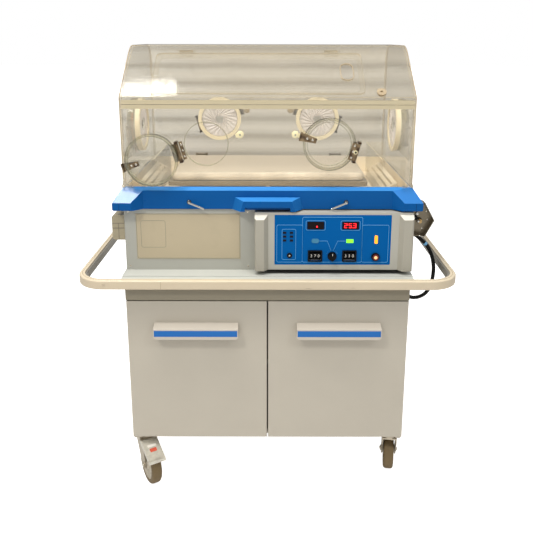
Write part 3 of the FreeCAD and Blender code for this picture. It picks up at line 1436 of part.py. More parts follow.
def cord():
    points = cord_path()
    radius = number_of(cord_radius)
    edges = []
    here = points[0]
    for before, corner, after in zip(points[:-2], points[1:-1], points[2:]):
        into = (corner - before).normalize()
        out = (after - corner).normalize()
        turn = into.getAngle(out)
        shorter = min((corner - before).Length, (after - corner).Length)
        tangent = 0.45 * shorter
        bend = tangent / math.tan(turn / 2)
        print("cord bend radius %.1f" % bend)
        start = corner - into * tangent
        end = corner + out * tangent
        inward = (out - into).normalize()
        centre = corner + inward * math.hypot(bend, tangent)
        middle = centre - inward * bend
        edges.append(Part.LineSegment(here, start).toShape())
        edges.append(Part.Arc(start, middle, end).toShape())
        here = end
    edges.append(Part.LineSegment(here, points[-1]).toShape())
    path = Part.Wire(edges)
    section = Part.Wire(Part.makeCircle(radius, points[0], points[1] - points[0]))
    tube = path.makePipeShell([section], True, True)
    expected = math.pi * radius ** 2 * path.Length
    print("cord length %.1f volume ratio %.4f" % (path.Length, tube.Volume / expected))
    piece("mains_cord", form("Cord", tube))


def cable_glands():
    """Rubber boots that hold the lead: one on the base wall, one on the cabinet wall."""
    points = cord_path()
    radius = number_of(cord_radius)
    boots = []
    ends = ((s.base_length / 2, points[0], points[1]), (s.cabinet_length / 2, points[-1], points[-2]))
    for wall, tip, onward in ends:
        x = number_of(wall)
        lean = (tip - onward).normalize()
        root = tip + lean * ((tip.x - x) / -lean.x)
        collar = Part.makeCylinder(14, 4, Vector(x, root.y, root.z), Vector(1, 0, 0))
        start = root + lean * 12
        cone = Part.makeCone(11, radius + 1.6, (tip - start).Length, start, tip - start)
        behind = Part.makeBox(60, 80, 80, Vector(x - 60, root.y - 40, root.z - 40))
        boots.append(collar.fuse(cone).cut(behind))
    piece("cable_glands", form("Glands", Part.makeCompound(boots)))


handrail()
deck()
stand_band()
cabinet()
cabinet_door()
door_handle()
casters()
base_housing()
air_plant()
filter_box()
service_panel()
module()
module_handles()
fascia()
fascia_fittings()
controls()
deck_skirt()
cranks()
inner_deck()
end_baffles()
mattress_set()
hood()
hood_hinges()
seals()
front_panel()
port_doors()
catches()
port_rings()
roof_flap()
cable_glands()
cord()
doc.recompute()

# Every object is sound before any file is written
for item in doc.Objects:
    for state in item.State:
        if state in ("Invalid", "Error"):
            raise RuntimeError(f"{item.Name} ({item.Label}) is {state}")
for item in pieces:
    shape = item.Shape
    if shape.isNull() or not shape.isValid() or not shape.Solids:
        raise RuntimeError(f"{item.Label} has no sound solid")

os.makedirs("parts", exist_ok=True)
for item in pieces:
    item.Shape.exportStep(f"parts/{item.Label}.step")
    box = item.Shape.BoundBox
    print(f"{item.Label:28s} {len(item.Shape.Solids)} solids  x {box.XMin:.1f} {box.XMax:.1f}"
          f"  y {box.YMin:.1f} {box.YMax:.1f}  z {box.ZMin:.1f} {box.ZMax:.1f}")
print(len(pieces), "pieces")
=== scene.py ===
import math

import bmesh
import bpy
from mathutils import Matrix, Vector


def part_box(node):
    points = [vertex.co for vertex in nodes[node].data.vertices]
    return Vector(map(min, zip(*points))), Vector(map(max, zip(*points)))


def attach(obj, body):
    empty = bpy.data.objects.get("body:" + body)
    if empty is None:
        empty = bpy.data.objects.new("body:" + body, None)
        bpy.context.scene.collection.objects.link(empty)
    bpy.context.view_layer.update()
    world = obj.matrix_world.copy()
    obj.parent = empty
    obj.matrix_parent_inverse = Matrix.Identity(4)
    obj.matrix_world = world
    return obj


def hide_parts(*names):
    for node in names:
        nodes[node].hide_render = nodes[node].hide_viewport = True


# Places and sizes of added pieces are millimetres in the common frame: X right, Y back, Z up, the
# floor at zero. CAD vertices and Blender's own settings, camera and lamps are metres.
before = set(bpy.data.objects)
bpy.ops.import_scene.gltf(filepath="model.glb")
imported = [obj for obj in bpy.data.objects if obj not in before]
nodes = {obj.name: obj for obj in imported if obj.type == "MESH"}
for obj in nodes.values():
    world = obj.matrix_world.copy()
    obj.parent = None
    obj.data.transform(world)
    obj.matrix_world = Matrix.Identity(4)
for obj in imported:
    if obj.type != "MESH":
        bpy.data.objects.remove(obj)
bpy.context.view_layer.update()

LEFT = (-1, 0, 0)
RIGHT = (1, 0, 0)
FRONT = (0, -1, 0)
BACK = (0, 1, 0)
UP = (0, 0, 1)
SIDES = ((-1, "left"), (1, "right"))
CORNERS = ("front_left", "front_right", "rear_left", "rear_right")

# Faces that the added pieces sit on, and places that several of them share
RAIL_HALF = (571, 327)
RAIL_RADIUS = 88
RAIL_FRONT = -RAIL_HALF[1]
BASE_FRONT = -225
FASCIA_FRONT = -260
SKIRT_FRONT = -234
PAN_FRONT = -130
HOOD_FRONT = -225
HOOD_BACK = 299
HOOD_TOP = 1357
HOOD_SIDE = 430
PORT_PITCH = 180
END_PORT = (37, 1100)
CRANK = (234, 904)
ROOF_ALONG = Vector((0, 0.797, 0.604))
ROOF_OUT = Vector((0, -0.604, 0.797))


# Colours and shader nodes
def srgb(*parts):
    """A linear colour from its 0 to 255 screen values."""
    linear = []
    for part in parts:
        c = part / 255.0
        linear.append(c / 12.92 if c <= 0.04045 else ((c + 0.055) / 1.055) ** 2.4)
    return (*linear, 1.0)


def shade(colour, factor):
    return tuple(min(1.0, c * factor) for c in colour[:3]) + (1.0,)


class Nodes:
    """Short ways to add and link the shader nodes of one material or world."""

    def __init__(self, owner, output="ShaderNodeOutputMaterial"):
        owner.use_nodes = True
        self.owner = owner
        self.tree = owner.node_tree
        self.tree.nodes.clear()
        self.output = self.tree.nodes.new(output)

    def add(self, kind, inputs=(), output=0, **settings):
        """Adds a node and gives one of its outputs. An input takes a plain value or an output."""
        node = self.tree.nodes.new(kind)
        for key, value in settings.items():
            setattr(node, key, value)
        for key, value in dict(inputs).items():
            if isinstance(value, bpy.types.NodeSocket):
                self.tree.links.new(value, node.inputs[key])
            else:
                node.inputs[key].default_value = value
        return node.outputs[output]

    def finish(self, shader):
        """Links the last shader to the output and gives the finished material or world."""
        self.tree.links.new(shader, self.output.inputs["Surface"])
        return self.owner

    def coords(self):
        return self.add("ShaderNodeTexCoord", output="Object")

    def geometry(self, output):
        return self.add("ShaderNodeNewGeometry", output=output)

    def axis(self, source, index):
        return self.add("ShaderNodeSeparateXYZ", {0: source}, index)

    def noise(self, scale, detail=4.0, rough=0.55, stretch=None):
        source = self.coords()
        if stretch:
            source = self.add("ShaderNodeMapping", {"Scale": stretch, "Vector": source}, "Vector")
        inputs = {"Scale": scale, "Detail": detail, "Roughness": rough, "Vector": source}
        return self.add("ShaderNodeTexNoise", inputs, "Fac")

    def ramp(self, source, low, high, from_value=0.0, to_value=1.0):
        """Turns low to high into from_value to to_value, and holds what lies beyond."""
        inputs = {"From Min": low, "From Max": high, "To Min": from_value, "To Max": to_value}
        return self.add("ShaderNodeMapRange", {**inputs, "Value": source}, "Result")

    def mix(self, factor, first, second):
        return self.add("ShaderNodeMix", {0: factor, 6: first, 7: second}, 2, data_type="RGBA")

    def math(self, operation, first, second=0.0):
        return self.add("ShaderNodeMath", {0: first, 1: second}, operation=operation)

    def glance(self, blend):
        """How far the surface turns away from the viewer."""
        return self.add("ShaderNodeLayerWeight", {"Blend": blend}, "Facing")

    def relief(self, height, strength, distance):
        inputs = {"Strength": strength, "Distance": distance, "Height": height}
        return self.add("ShaderNodeBump", inputs, "Normal")

    def blend(self, factor, first, second):
        return self.add("ShaderNodeMixShader", {0: factor, 1: first, 2: second})


# Kinds of material
M = {}


def new_material(key):
    return Nodes(bpy.data.materials.new(key))


def principled(n, colour, rough, height, bump, metal=0.0, coat=0.0, spec=0.5, sheen=0.0):
    """The common shader, with relief from height where bump isn't zero."""
    inputs = {"Base Color": colour, "Roughness": rough, "Metallic": metal, "Coat Weight": coat,
              "Coat Roughness": 0.12, "Specular IOR Level": spec, "Sheen Weight": sheen}
    if bump:
        inputs["Normal"] = n.relief(height, bump, 0.0006)
    return n.finish(n.add("ShaderNodeBsdfPrincipled", inputs))


def surface(key, colour, rough=0.45, metal=0.0, coat=0.0, grain=900.0, bump=0.15, spread=0.06,
            wear=0.0, wear_colour=None, stretch=None, spec=0.5, grime=0.0, joint=None, shaded=None,
            upper=None):
    """An opaque finish: mottled colour, uneven gloss, fine relief, rubbed edges and grime.

    joint is a line on both sides of the middle: its distance from it, half width and colour.
    shaded is painted shade: two heights between which the colour gets darker, and by what factor. Metres.
    upper is a painted highlight: the colour of what faces up, lighter as if lit from above.
    """
    n = new_material(key)
    colour = srgb(*colour)
    tone = n.ramp(n.noise(7.0, 5.0), 0.3, 0.7)
    fine = n.noise(grain, 3.0, 0.6, stretch)
    base = n.mix(tone, shade(colour, 1 - spread), shade(colour, 1 + spread * 0.6))
    speck = n.ramp(fine, 0.35, 0.65, 0.0, 0.35 * spread / 0.06)
    base = n.mix(speck, base, shade(colour, 0.9))
    if grime:
        patch = n.ramp(n.noise(9.0, 7.0, 0.6), 0.6, 0.85, 0.0, grime)
        base = n.mix(patch, base, shade(srgb(120, 105, 80), 0.8))
    if wear:
        edge = n.ramp(n.geometry("Pointiness"), 0.505, 0.56, 0.0, wear)
        broken = n.math("MULTIPLY", edge, n.ramp(n.noise(60.0), 0.35, 0.6))
        base = n.mix(broken, base, srgb(*wear_colour) if wear_colour else shade(colour, 1.4))
    # Painted shade: darker between the two heights.
    if shaded:
        low, high, factor = shaded
        base = n.mix(n.ramp(n.axis(n.coords(), 2), low, high), base, shade(colour, factor))
    # Painted highlight: faces turned up blend to the upper colour.
    if upper:
        base = n.mix(n.ramp(n.axis(n.geometry("Normal"), 2), 0.05, 0.6), base, srgb(*upper))
    if joint:
        place, half, dark = joint
        across = n.math("ABSOLUTE", n.axis(n.coords(), 0))
        off = n.math("ABSOLUTE", n.math("SUBTRACT", across, place))
        base = n.mix(n.math("LESS_THAN", off, half), base, srgb(*dark))
    gloss = n.ramp(n.noise(18.0, 6.0, 0.6), 0.3, 0.75, max(0.02, rough - 0.03), rough + 0.04)
    M[key] = principled(n, base, gloss, fine, bump, metal, coat, spec)


def clear(key, tint, haze, haze_colour, gloss=1.0, rough=0.03, edge=0.0):
    """Clear sheet: tinted see-through, mirror gloss that grows at glancing angles, faint scuffs.

    tint is the share of red, green and blue let through, haze the share of milky film.
    """
    n = new_material(key)
    through = n.add("ShaderNodeBsdfTransparent", {"Color": (*tint, 1)})
    scuff = n.ramp(n.noise(12.0, 8.0, 0.7), 0.45, 0.8, rough, rough + 0.22)
    wavy = n.relief(n.noise(9.0, 2.0), 0.05, 0.002)
    mirror = n.add("ShaderNodeBsdfGlossy",
                   {"Color": (0.95, 0.95, 0.93, 1), "Roughness": scuff, "Normal": wavy})
    steep = n.math("MULTIPLY", n.math("POWER", n.glance(0.5), 5.0), 0.55)
    both = n.blend(n.math("MULTIPLY", n.math("ADD", steep, 0.045), gloss), through, mirror)
    milk = n.add("ShaderNodeBsdfDiffuse", {"Color": srgb(*haze_colour)})
    scratches = n.ramp(n.noise(60.0, 8.0, 0.75, (1, 1, 14)), 0.62, 0.8, 0.0, 0.10)
    smear = n.ramp(n.noise(4.0, 6.0, 0.6), 0.35, 0.75, haze * 0.5, haze * 1.4)
    amount = n.math("ADD", smear, scratches)
    if edge:
        amount = n.math("ADD", amount, n.math("MULTIPLY", n.glance(0.35), edge))
    M[key] = n.finish(n.blend(amount, both, milk))


def glow(key, colour, strength):
    """A lit lens: its own uneven light under a glossy skin."""
    n = new_material(key)
    colour = srgb(*colour)
    spots = n.ramp(n.noise(260.0, 2.0), 0.3, 0.7, 0.8, 1.1)
    M[key] = n.finish(n.add("ShaderNodeBsdfPrincipled", {
        "Base Color": shade(colour, 0.85), "Roughness": 0.2, "Emission Color": colour,
        "Emission Strength": n.math("MULTIPLY", spots, strength)}))


def cover_cloth(key, colour, lit_side_colour):
    """Wiped cover cloth: crossed threads, soft creases and a faint sheen; the much lighter sides are
    painted light on its shaded front face.
    """
    n = new_material(key)
    colour = srgb(*colour)
    threads = []
    for turn in (0.0, math.pi / 2):
        turned = n.add("ShaderNodeMapping", {"Rotation": (0, 0, turn), "Vector": n.coords()})
        inputs = {"Scale": 700 / 3, "Distortion": 0.6, "Vector": turned}
        threads.append(n.add("ShaderNodeTexWave", inputs, "Fac"))
    weft = n.math("MULTIPLY", *threads)
    soft = n.noise(14.0, 4.0)
    # Painted light: faces not turned up take the lighter side colour.
    base = n.mix(n.ramp(n.axis(n.geometry("Normal"), 2), 0.2, 0.9), srgb(*lit_side_colour), colour)
    base = n.mix(n.ramp(soft, 0.3, 0.7, 0.0, 0.5), base, shade(colour, 0.9))
    base = n.mix(n.ramp(weft, 0.0, 1.0, 0.0, 0.12), base, shade(colour, 0.8))
    gloss = n.ramp(soft, 0.2, 0.8, 0.65, 0.85)
    height = n.math("ADD", n.math("MULTIPLY", weft, 0.15), n.math("MULTIPLY", soft, 1.5))
    M[key] = principled(n, base, gloss, height, 0.5, spec=0.3, sheen=0.2)


# Materials of the stand and base
# The laminate darkens towards the doors' tops: painted shade of the rail above.
surface("laminate", (188, 181, 167), 0.45, grain=500, bump=0.05, spread=0.025, grime=0.05,
        shaded=(0.46, 0.62, 0.84))
surface("laminate_edge", (128, 120, 104), 0.5, spread=0.05)
# The deck's long streaks along X are painted reflections.
surface("deck", (206, 208, 202), 0.34, 0.1, grain=9, bump=0.0, spread=0.05, stretch=(0.5, 24, 24))
# The band's dark tone is partly its own colour, partly painted shade from the rail above.
surface("band", (134, 127, 109), 0.5, grain=600, bump=0.08, spread=0.03, grime=0.08)
surface("rail_core", (158, 154, 144), 0.35, 0.5, grain=700, stretch=(1, 1, 8))
# The bumper's lighter upper colour is a painted highlight on its top.
surface("bumper", (208, 193, 167), 0.4, coat=0.15, grain=350, bump=0.06, spread=0.035, grime=0.16,
        upper=(220, 206, 180))
surface("groove", (168, 150, 120), 0.6)
# The handle's upper colour is a painted highlight on its top face.
surface("handle", (196, 188, 177), 0.34, 0.1, bump=0.0, spread=0.02, upper=(196, 189, 178))
surface("stripe", (22, 104, 182), 0.32, spec=0.3, grain=400, bump=0.03, spread=0.04)
surface("base", (176, 176, 167), 0.5, grain=1100, bump=0.12, spread=0.03, grime=0.1)
surface("plate", (186, 173, 145), coat=0.1, grain=300, bump=0.03, spread=0.04, grime=0.15)
surface("plate_line", (134, 138, 126), 0.5)
surface("filter", (164, 154, 128), coat=0.1, grain=500, bump=0.08, grime=0.15)
surface("fork", (186, 176, 158), 0.3, 0.6, grain=500, bump=0.08, wear=0.4, grime=0.3)
surface("tyre", (112, 93, 60), 0.6, grain=500, bump=0.2, spread=0.12, grime=0.45)
surface("hub", (206, 198, 182), 0.4, grain=500, bump=0.08, grime=0.3)
surface("pedal", (200, 196, 184), 0.3, 0.45, grain=500, bump=0.08, wear=0.5, grime=0.25)
surface("white", (235, 230, 220), 0.35, coat=0.2, spread=0.03)
surface("red", (206, 84, 60), 0.35, coat=0.3)

# Materials of the control module and the blue skirt
surface("module", (176, 174, 164), 0.48, grain=1200, spread=0.03)
# The pillars' pale upper colour is a painted highlight on their top bevels.
surface("pillar", (166, 162, 149), 0.46, grain=1200, spread=0.03, upper=(226, 222, 210))
# The skirt's lighter upper colour is a painted highlight on faces turned up.
surface("skirt", (0, 82, 150), 0.3, grain=600, bump=0.04, spread=0.05, spec=0.12,
        upper=(56, 132, 204), joint=(0.4368, 0.0006, (10, 40, 80)))
# A lighter blue for the upward corner slopes: painted highlight, with a glossier finish.
surface("skirt_lit_slope", (44, 120, 196), 0.14, grain=600, bump=0.02, spread=0.04)
surface("fascia", (0, 90, 160), 0.4, grain=800, bump=0.02, spread=0.03, spec=0.05)
surface("print", (96, 170, 222), 0.4, spread=0.03)
surface("dark_red", (96, 20, 18), 0.3, coat=0.2)
surface("window_dark", (16, 3, 4), 0.3, bump=0.0, spec=0.15)
surface("drum", (9, 9, 10), 0.4, spec=0.12)
surface("numeral", (215, 212, 205), 0.5)
surface("lens_dark", (5, 8, 18), 0.3, spec=0.2)
surface("lens_teal", (30, 120, 160), 0.25, coat=0.5)
glow("lit_red", (255, 30, 40), 3.2)
glow("lit_green", (120, 255, 40), 1.3)
glow("lit_orange", (255, 158, 24), 1.15)
glow("lit_button", (255, 176, 120), 1.2)

# Materials of the fittings
surface("cream", (228, 216, 186), 0.4, coat=0.15, grain=500, bump=0.05, spread=0.03)
surface("knob_cream", (238, 226, 182), 0.35, coat=0.2, grain=400, bump=0.04)
surface("seal", (192, 180, 150), 0.5, grain=500, bump=0.05, spread=0.03, grime=0.08)
surface("steel", (132, 123, 106), 0.3, 0.85, grain=250, stretch=(1, 1, 24), bump=0.1, grime=0.2)
surface("bronze", (66, 48, 34), 0.36, 0.6, grain=160, bump=0.2, spread=0.25, wear=0.9,
        wear_colour=(150, 130, 100), grime=0.3)
surface("screw", (228, 222, 208), 0.22, 0.8, grain=500, spread=0.08)
surface("chrome", (210, 208, 202), 0.12, 0.95, grain=400, bump=0.03, spread=0.04)
surface("brass", (190, 160, 110), 0.28, 0.9, grain=400, bump=0.08)
surface("black", (10, 10, 11), bump=0.08, spec=0.15)
surface("rubber", (10, 10, 10), 0.5, grain=700, bump=0.1, spec=0.2)
surface("tape", (120, 185, 230), 0.5)
surface("motor", (150, 150, 150), 0.45, 0.7, grain=300, bump=0.3)

# Materials of the hood and what it holds
surface("tray", (136, 122, 98), 0.4, grain=240, bump=0.25, grime=0.3)
surface("floor_cream", (240, 227, 203), 0.5, grain=500, bump=0.05, spread=0.03)
# The mattress's near-white sides are painted light on its shaded front face.
cover_cloth("mattress", (178, 166, 147), (255, 244, 226))
clear("hood", (0.975, 0.968, 0.95), 0.035, (238, 228, 206))
clear("panel", (0.98, 0.974, 0.955), 0.025, (238, 229, 208), 0.8)
clear("edge", (0.80, 0.75, 0.66), 0.5, (232, 220, 192), 1.0, 0.1)
clear("seam", (0.70, 0.63, 0.53), 0.72, (206, 188, 158), 1.0, 0.1)
clear("cup", (0.985, 0.982, 0.968), 0.025, (225, 222, 205))
clear("rim", (0.80, 0.79, 0.70), 0.2, (168, 166, 142), 1.2, 0.06, 0.35)
clear("outline", (0.45, 0.44, 0.38), 0.3, (96, 94, 80), 1.2, 0.06)
clear("baffle", (0.97, 0.96, 0.93), 0.05, (238, 228, 204), 0.9)
clear("film", (0.92, 0.905, 0.895), 0.42, (244, 238, 234), 0.7, 0.18, 0.3)
clear("strip", (0.95, 0.94, 0.92), 0.16, (240, 236, 226), 0.5, 0.12)

# Finishes of the CAD pieces
NODE_MATERIALS = {
    "laminate": ("cabinet_shell", "cabinet_shelf", "door_left", "door_right"),
    "deck": ("deck_plate",),
    "band": ("stand_frame",),
    "rail_core": ("rail_core",),
    "bumper": ("rail_bumper",),
    "handle": ("handle_left", "handle_right"),
    "base": ("base_housing",),
    "module": ("module_housing",),
    "pillar": ("module_handles",),
    "skirt": ("deck_skirt",),
    "fascia": ("control_fascia",),
    "cream": ("port_rings",),
    "tray": ("mattress_tray",),
    "filter": ("filter_box",),
    "knob_cream": ("panel_catches",),
    "seam": ("hood_fittings",),
    "seal": ("hood_edge_seal", "panel_edge_seal"),
    "floor_cream": ("inner_deck",),
    "steel": ("service_panel", "hood_hinges"),
    "chrome": ("tilt_crank_left", "tilt_crank_right"),
    "brass": ("gas_fittings",),
    "rubber": ("cable_glands",),
    "motor": ("fan_motor", "heater"),
    "black": ("fan_rotor", "mode_knob", "fascia_fittings"),
    "drum": ("setpoint_wheels_left", "setpoint_wheels_right"),
    "dark_red": ("alarm_button",),
    "baffle": ("end_baffles",),
    "hood": ("hood_shell", "roof_flap"),
    "panel": ("front_panel",),
    "cup": [f"port_door_{place}" for place in (*CORNERS, "end_left", "end_right")],
    "fork": [f"caster_fork_{corner}" for corner in CORNERS],
    "tyre": [f"caster_wheel_{corner}" for corner in CORNERS],
    "pedal": ("caster_pedal_front_left", "caster_pedal_front_right"),
}


def finish_cad_pieces():
    for key, names in NODE_MATERIALS.items():
        for name in names:
            nodes[name].data.materials.clear()
            nodes[name].data.materials.append(M[key])


def repaint(name, choose, *keys):
    """Gives each face of a CAD node the finish that choose(centre, normal) picks from keys."""
    mesh = nodes[name].data
    for key in keys:
        mesh.materials.append(M[key])
    for face in mesh.polygons:
        picked = choose(face.center, face.normal)
        if picked is not None:
            face.material_index = 1 + keys.index(picked)


def skirt_finish(centre, normal):
    """Cream inside the hood's walls; a lighter, glossier blue on the upward corner slopes, its lightness a
    painted highlight.
    """
    if abs(centre.x) < 0.4245 and -0.2196 < centre.y < 0.2935 and centre.z > 0.884:
        return "floor_cream"
    return "skirt_lit_slope" if normal.z > 0.3 and centre.y < -0.22 and abs(centre.x) > 0.38 else None


def screen_edges(centre, normal):
    """A yellower cut edge along the screens' tops and ends."""
    at_end = abs(normal.x) > 0.9 and abs(centre.x) > 0.4212
    return "edge" if abs(normal.z) > 0.9 or at_end else None


def lid_edges(centre, normal):
    """The lid's cut edges, and those of its finger slot, catch the light."""
    return "edge" if abs(normal.dot(ROOF_OUT)) < 0.7 else None


# Helpers for added pieces
def mesh_object(name, bm, key, body, smooth=False):
    mesh = bpy.data.meshes.new(name)
    bm.normal_update()
    bm.to_mesh(mesh)
    bm.free()
    mesh.materials.append(M[key])
    if smooth:
        mesh.polygons.foreach_set("use_smooth", [True] * len(mesh.polygons))
    return added(name, mesh, body)


def added(name, data, body, matrix=None):
    item = bpy.data.objects.new(name, data)
    bpy.context.collection.objects.link(item)
    if matrix:
        item.matrix_world = matrix
    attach(item, body)
    return item


def box(name, low, high, key, body, round_by=0.0, turn=None, segments=2):
    """A box between two corners, its edges rounded."""
    bm = bmesh.new()
    bmesh.ops.create_cube(bm, size=1.0)
    size = [(b - a) / 1000 for a, b in zip(low, high)]
    middle = Vector([(a + b) / 2000 for a, b in zip(low, high)])
    bmesh.ops.scale(bm, vec=size, verts=bm.verts)
    if round_by:
        bmesh.ops.bevel(bm, geom=bm.edges[:], offset=round_by / 1000, segments=segments,
                        affect="EDGES", profile=0.5)
    matrix = Matrix.Translation(middle) if turn is None else turn @ Matrix.Translation(middle)
    bmesh.ops.transform(bm, matrix=matrix, verts=bm.verts)
    return mesh_object(name, bm, key, body)


def bridge(bm, rings):
    """Faces between each closed ring of vertices and the next."""
    for lower, upper in zip(rings[:-1], rings[1:]):
        for i in range(len(lower)):
            j = (i + 1) % len(lower)
            bm.faces.new((lower[i], lower[j], upper[j], upper[i]))


def facing(centre, direction):
    """Puts a piece at a centre, its own Z along a direction."""
    turn = Vector(direction).normalized().to_track_quat("Z", "Y").to_matrix().to_4x4()
    return Matrix.Translation(Vector(centre) / 1000) @ turn


def disc(name, centre, direction, radius, depth, key, body, dome=0.0, segments=28, inner=0.0):
    """A round piece: the centre of its back, the way it faces, its sizes; inner is a hole's radius."""
    profile = [(radius, 0.0), (radius, depth * 0.75), (radius - depth * 0.25, depth)]
    if dome:
        rise = [math.pi / 8 * step for step in (1, 2, 3)]
        profile = [(radius, 0.0), (radius, depth)]
        profile += [(radius * math.cos(a), depth + dome * math.sin(a)) for a in rise]
    if inner:
        profile += [(inner, depth), (inner, 0.0)]
    bm = bmesh.new()
    angles = [2 * math.pi * i / segments for i in range(segments)]
    rings = [[bm.verts.new((r * math.cos(a) / 1000, r * math.sin(a) / 1000, h / 1000)) for a in angles]
             for r, h in profile]
    if inner:
        bridge(bm, rings + rings[:1])
    else:
        bridge(bm, rings)
        bm.faces.new(rings[-1])
        bm.faces.new(rings[0][::-1])
    bmesh.ops.transform(bm, matrix=facing(centre, direction), verts=bm.verts)
    bmesh.ops.recalc_face_normals(bm, faces=bm.faces[:])
    return mesh_object(name, bm, key, body, smooth=bool(dome))


def screw(name, centre, direction, radius, body, height=1.2):
    """A domed screw head with its dark slot."""
    disc(name, centre, direction, radius, height * 0.4, "screw", body, dome=height * 0.6, segments=18)
    long, wide = radius * 0.6, radius * 0.1
    box(name + "_slot", (-long, -wide, height * 0.85), (long, wide, height * 1.05), "black", body,
        turn=facing(centre, direction))


def curve_object(name, kind, points, thickness, roundness, key, body, closed=False):
    """A round line through points."""
    curve = bpy.data.curves.new(name, "CURVE")
    curve.dimensions = "3D"
    spline = curve.splines.new(kind)
    spline.points.add(len(points) - 1)
    for point, (x, y, z) in zip(spline.points, points):
        point.co = (x / 1000, y / 1000, z / 1000, 1)
    spline.use_cyclic_u = closed
    if kind == "NURBS":
        spline.order_u = 3
        spline.use_endpoint_u = True
    curve.bevel_depth = thickness / 2000
    curve.bevel_resolution = roundness
    curve.materials.append(M[key])
    return added(name, curve, body)


def drawn_line(name, points, width, key, body, closed=True):
    return curve_object(name, "POLY", points, width, 1, key, body, closed)


def rounded_loop(half_x, half_y, radius, steps):
    """Points of a rounded rectangle round the middle."""
    points = []
    for index, (sx, sy) in enumerate(((1, 1), (-1, 1), (-1, -1), (1, -1))):
        for step in range(steps + 1):
            angle = math.pi / 2 * (index + step / steps)
            points.append((sx * (half_x - radius) + radius * math.cos(angle),
                           sy * (half_y - radius) + radius * math.sin(angle)))
    return points


def rounded_path(points, radii, steps=10):
    """Corner points in one plane turned to a path with arcs."""
    out = [Vector(points[0])]
    for before, corner, after, radius in zip(points[:-2], points[1:-1], points[2:], radii):
        corner = Vector(corner)
        into = (corner - Vector(before)).normalized()
        onward = (Vector(after) - corner).normalized()
        half = into.angle(onward) / 2
        reach = radius * math.tan(half)
        centre = corner + (onward - into).normalized() * radius / math.cos(half)
        start = corner - into * reach
        for step in range(steps + 1):
            straight = start.lerp(corner + onward * reach, step / steps) - centre
            out.append(centre + straight.normalized() * radius)
    out.append(Vector(points[-1]))
    return out


# Stand
def rail_line(name, inset, height):
    """A line round the bumper, set in from its outer face."""
    loop = rounded_loop(*(size - inset for size in (*RAIL_HALF, RAIL_RADIUS)), 14)
    line = drawn_line(name, [(x, y, height) for x, y in loop], 1.5, "groove", "stand")


def dress_stand():
    """The bumper's grooves and marks, and the blue stripes on the pulls."""
    rail_line("rail_groove", 9.5, 689.75)
    for side, word in SIDES:
        middle, half = side * 213, 123.5
        stripe = box(f"handle_stripe_{word}", (middle - half, -337.4, 517.5),
                     (middle + half, -336.6, 536.5), "stripe", f"cupboard_{word}", 0.25)
    rail_line("rail_line", 0.8, 671)
    marks = ((-480, 5, 677), (-479, 4, 673.4), (120, 9, 666), (250, 6, 668))
    for index, (x, half, z) in enumerate(marks):
        mark = box(f"rail_chip_{index}", (x - half, RAIL_FRONT, z),
                   (x + half, RAIL_FRONT + 0.6, z + 1.5), "groove", "stand", 0.3)


# Roof lid
def dress_lid():
    """A light rim round the lid's finger slot, found from its own vertices, so in metres."""
    slot_x, radius = 0.235, 0.019
    wall = [v.co for v in nodes["roof_flap"].data.vertices if abs(v.co.x - slot_x) < radius + 0.0002]
    reach = [co.dot(ROOF_ALONG) for co in wall]
    lift = max(co.dot(ROOF_OUT) for co in wall) + 0.0004
    rim = []
    for index in range(32):
        angle = math.pi * (index + 0.5) / 16
        end = max(reach) - radius if math.sin(angle) > 0 else min(reach) + radius
        spot = ROOF_ALONG * (end + radius * math.sin(angle)) + ROOF_OUT * lift
        rim.append(((slot_x + radius * math.cos(angle)) * 1000, spot.y * 1000, spot.z * 1000))
    drawn_line("lid_slot_rim", rim, 2.2, "seam", "lid")


# Base housing
def dress_base():
    """The bare plate with its printed frames, four screws, and a thin black strip under the module that
    paints the shadow gap beneath it.
    """
    plate = box("base_plate", (-398, BASE_FRONT - 1.2, 723), (-83, BASE_FRONT + 0.1, 866), "plate",
                "stand", 0.5)
    for tag, x, z, half_x, half_z in (("edge", -240.5, 794.5, 155.5, 69.5), ("field", -346, 802, 37, 42)):
        ring = [(x + a, BASE_FRONT - 1.25, z + b) for a, b in rounded_loop(half_x, half_z, 6, 4)]
        line = drawn_line(f"base_plate_{tag}", ring, 0.9, "plate_line", "stand")
    for index, (x, z) in enumerate(((-420, 700), (-420, 872), (-60, 700), (-60, 872))):
        screw(f"base_screw_{index}", (x, BASE_FRONT, z), FRONT, 3.2, "stand")
    # Painted shadow: a thin black strip under the module's front edge.
    shadow_strip = box("module_shadow_strip", (-22, FASCIA_FRONT - 1.6, 695.6), (415, -240, 700.9), "black", "stand")


# Control fascia
DIAL = (193, 744.5)
FRAMES = {
    "alarm": ((27.5, 103.7), (725, 841)),
    "middle": ((103.7, 281.5), (725, 865)),
    "power": ((281.5, 360), (725, 841)),
    "lamps": ((43, 84), (733, 828)),
    "display_left": ((114, 171), (825, 854)),
    "display_right": ((217.5, 274.5), (825, 854)),
}
LEADER_LINES = {
    "lead_left": ((153, 791.5), (178, 791.5)),
    "lead_slope_left": ((178, 791.5), (189, 763)),
    "lead_right": ((234, 791.5), (209, 791.5)),
    "lead_slope_right": ((209, 791.5), (197, 763)),
}
LENSES = (
    ("window_dark", (115, 170), (826, 900)),
    ("window_dark", (218, 273), (826, 900)),
    ("lens_dark", (40, 80), (780, 900)),
    ("lens_teal", (129, 155), (783, 801)),
    ("lit_green", (233, 257), (784, 799)),
    ("lit_orange", (317, 330), (782, 900)),
)
SEGMENTS = {"2": "abged", "3": "abgcd", "5": "afgcd"}
BARS = {"a": (0, 1, 1, 1), "b": (1, 0, 1, 1), "c": (1, -1, 1, 0), "d": (0, -1, 1, -1),
        "e": (0, -1, 0, 0), "f": (0, 0, 0, 1), "g": (0, 0, 1, 0)}


def printed(name, points, width, closed=False):
    """A printed line on the fascia, through points in X and Z."""
    spots = [(x, FASCIA_FRONT - 0.1, z) for x, z in points]
    drawn_line(name, spots, width, "print", "stand", closed)


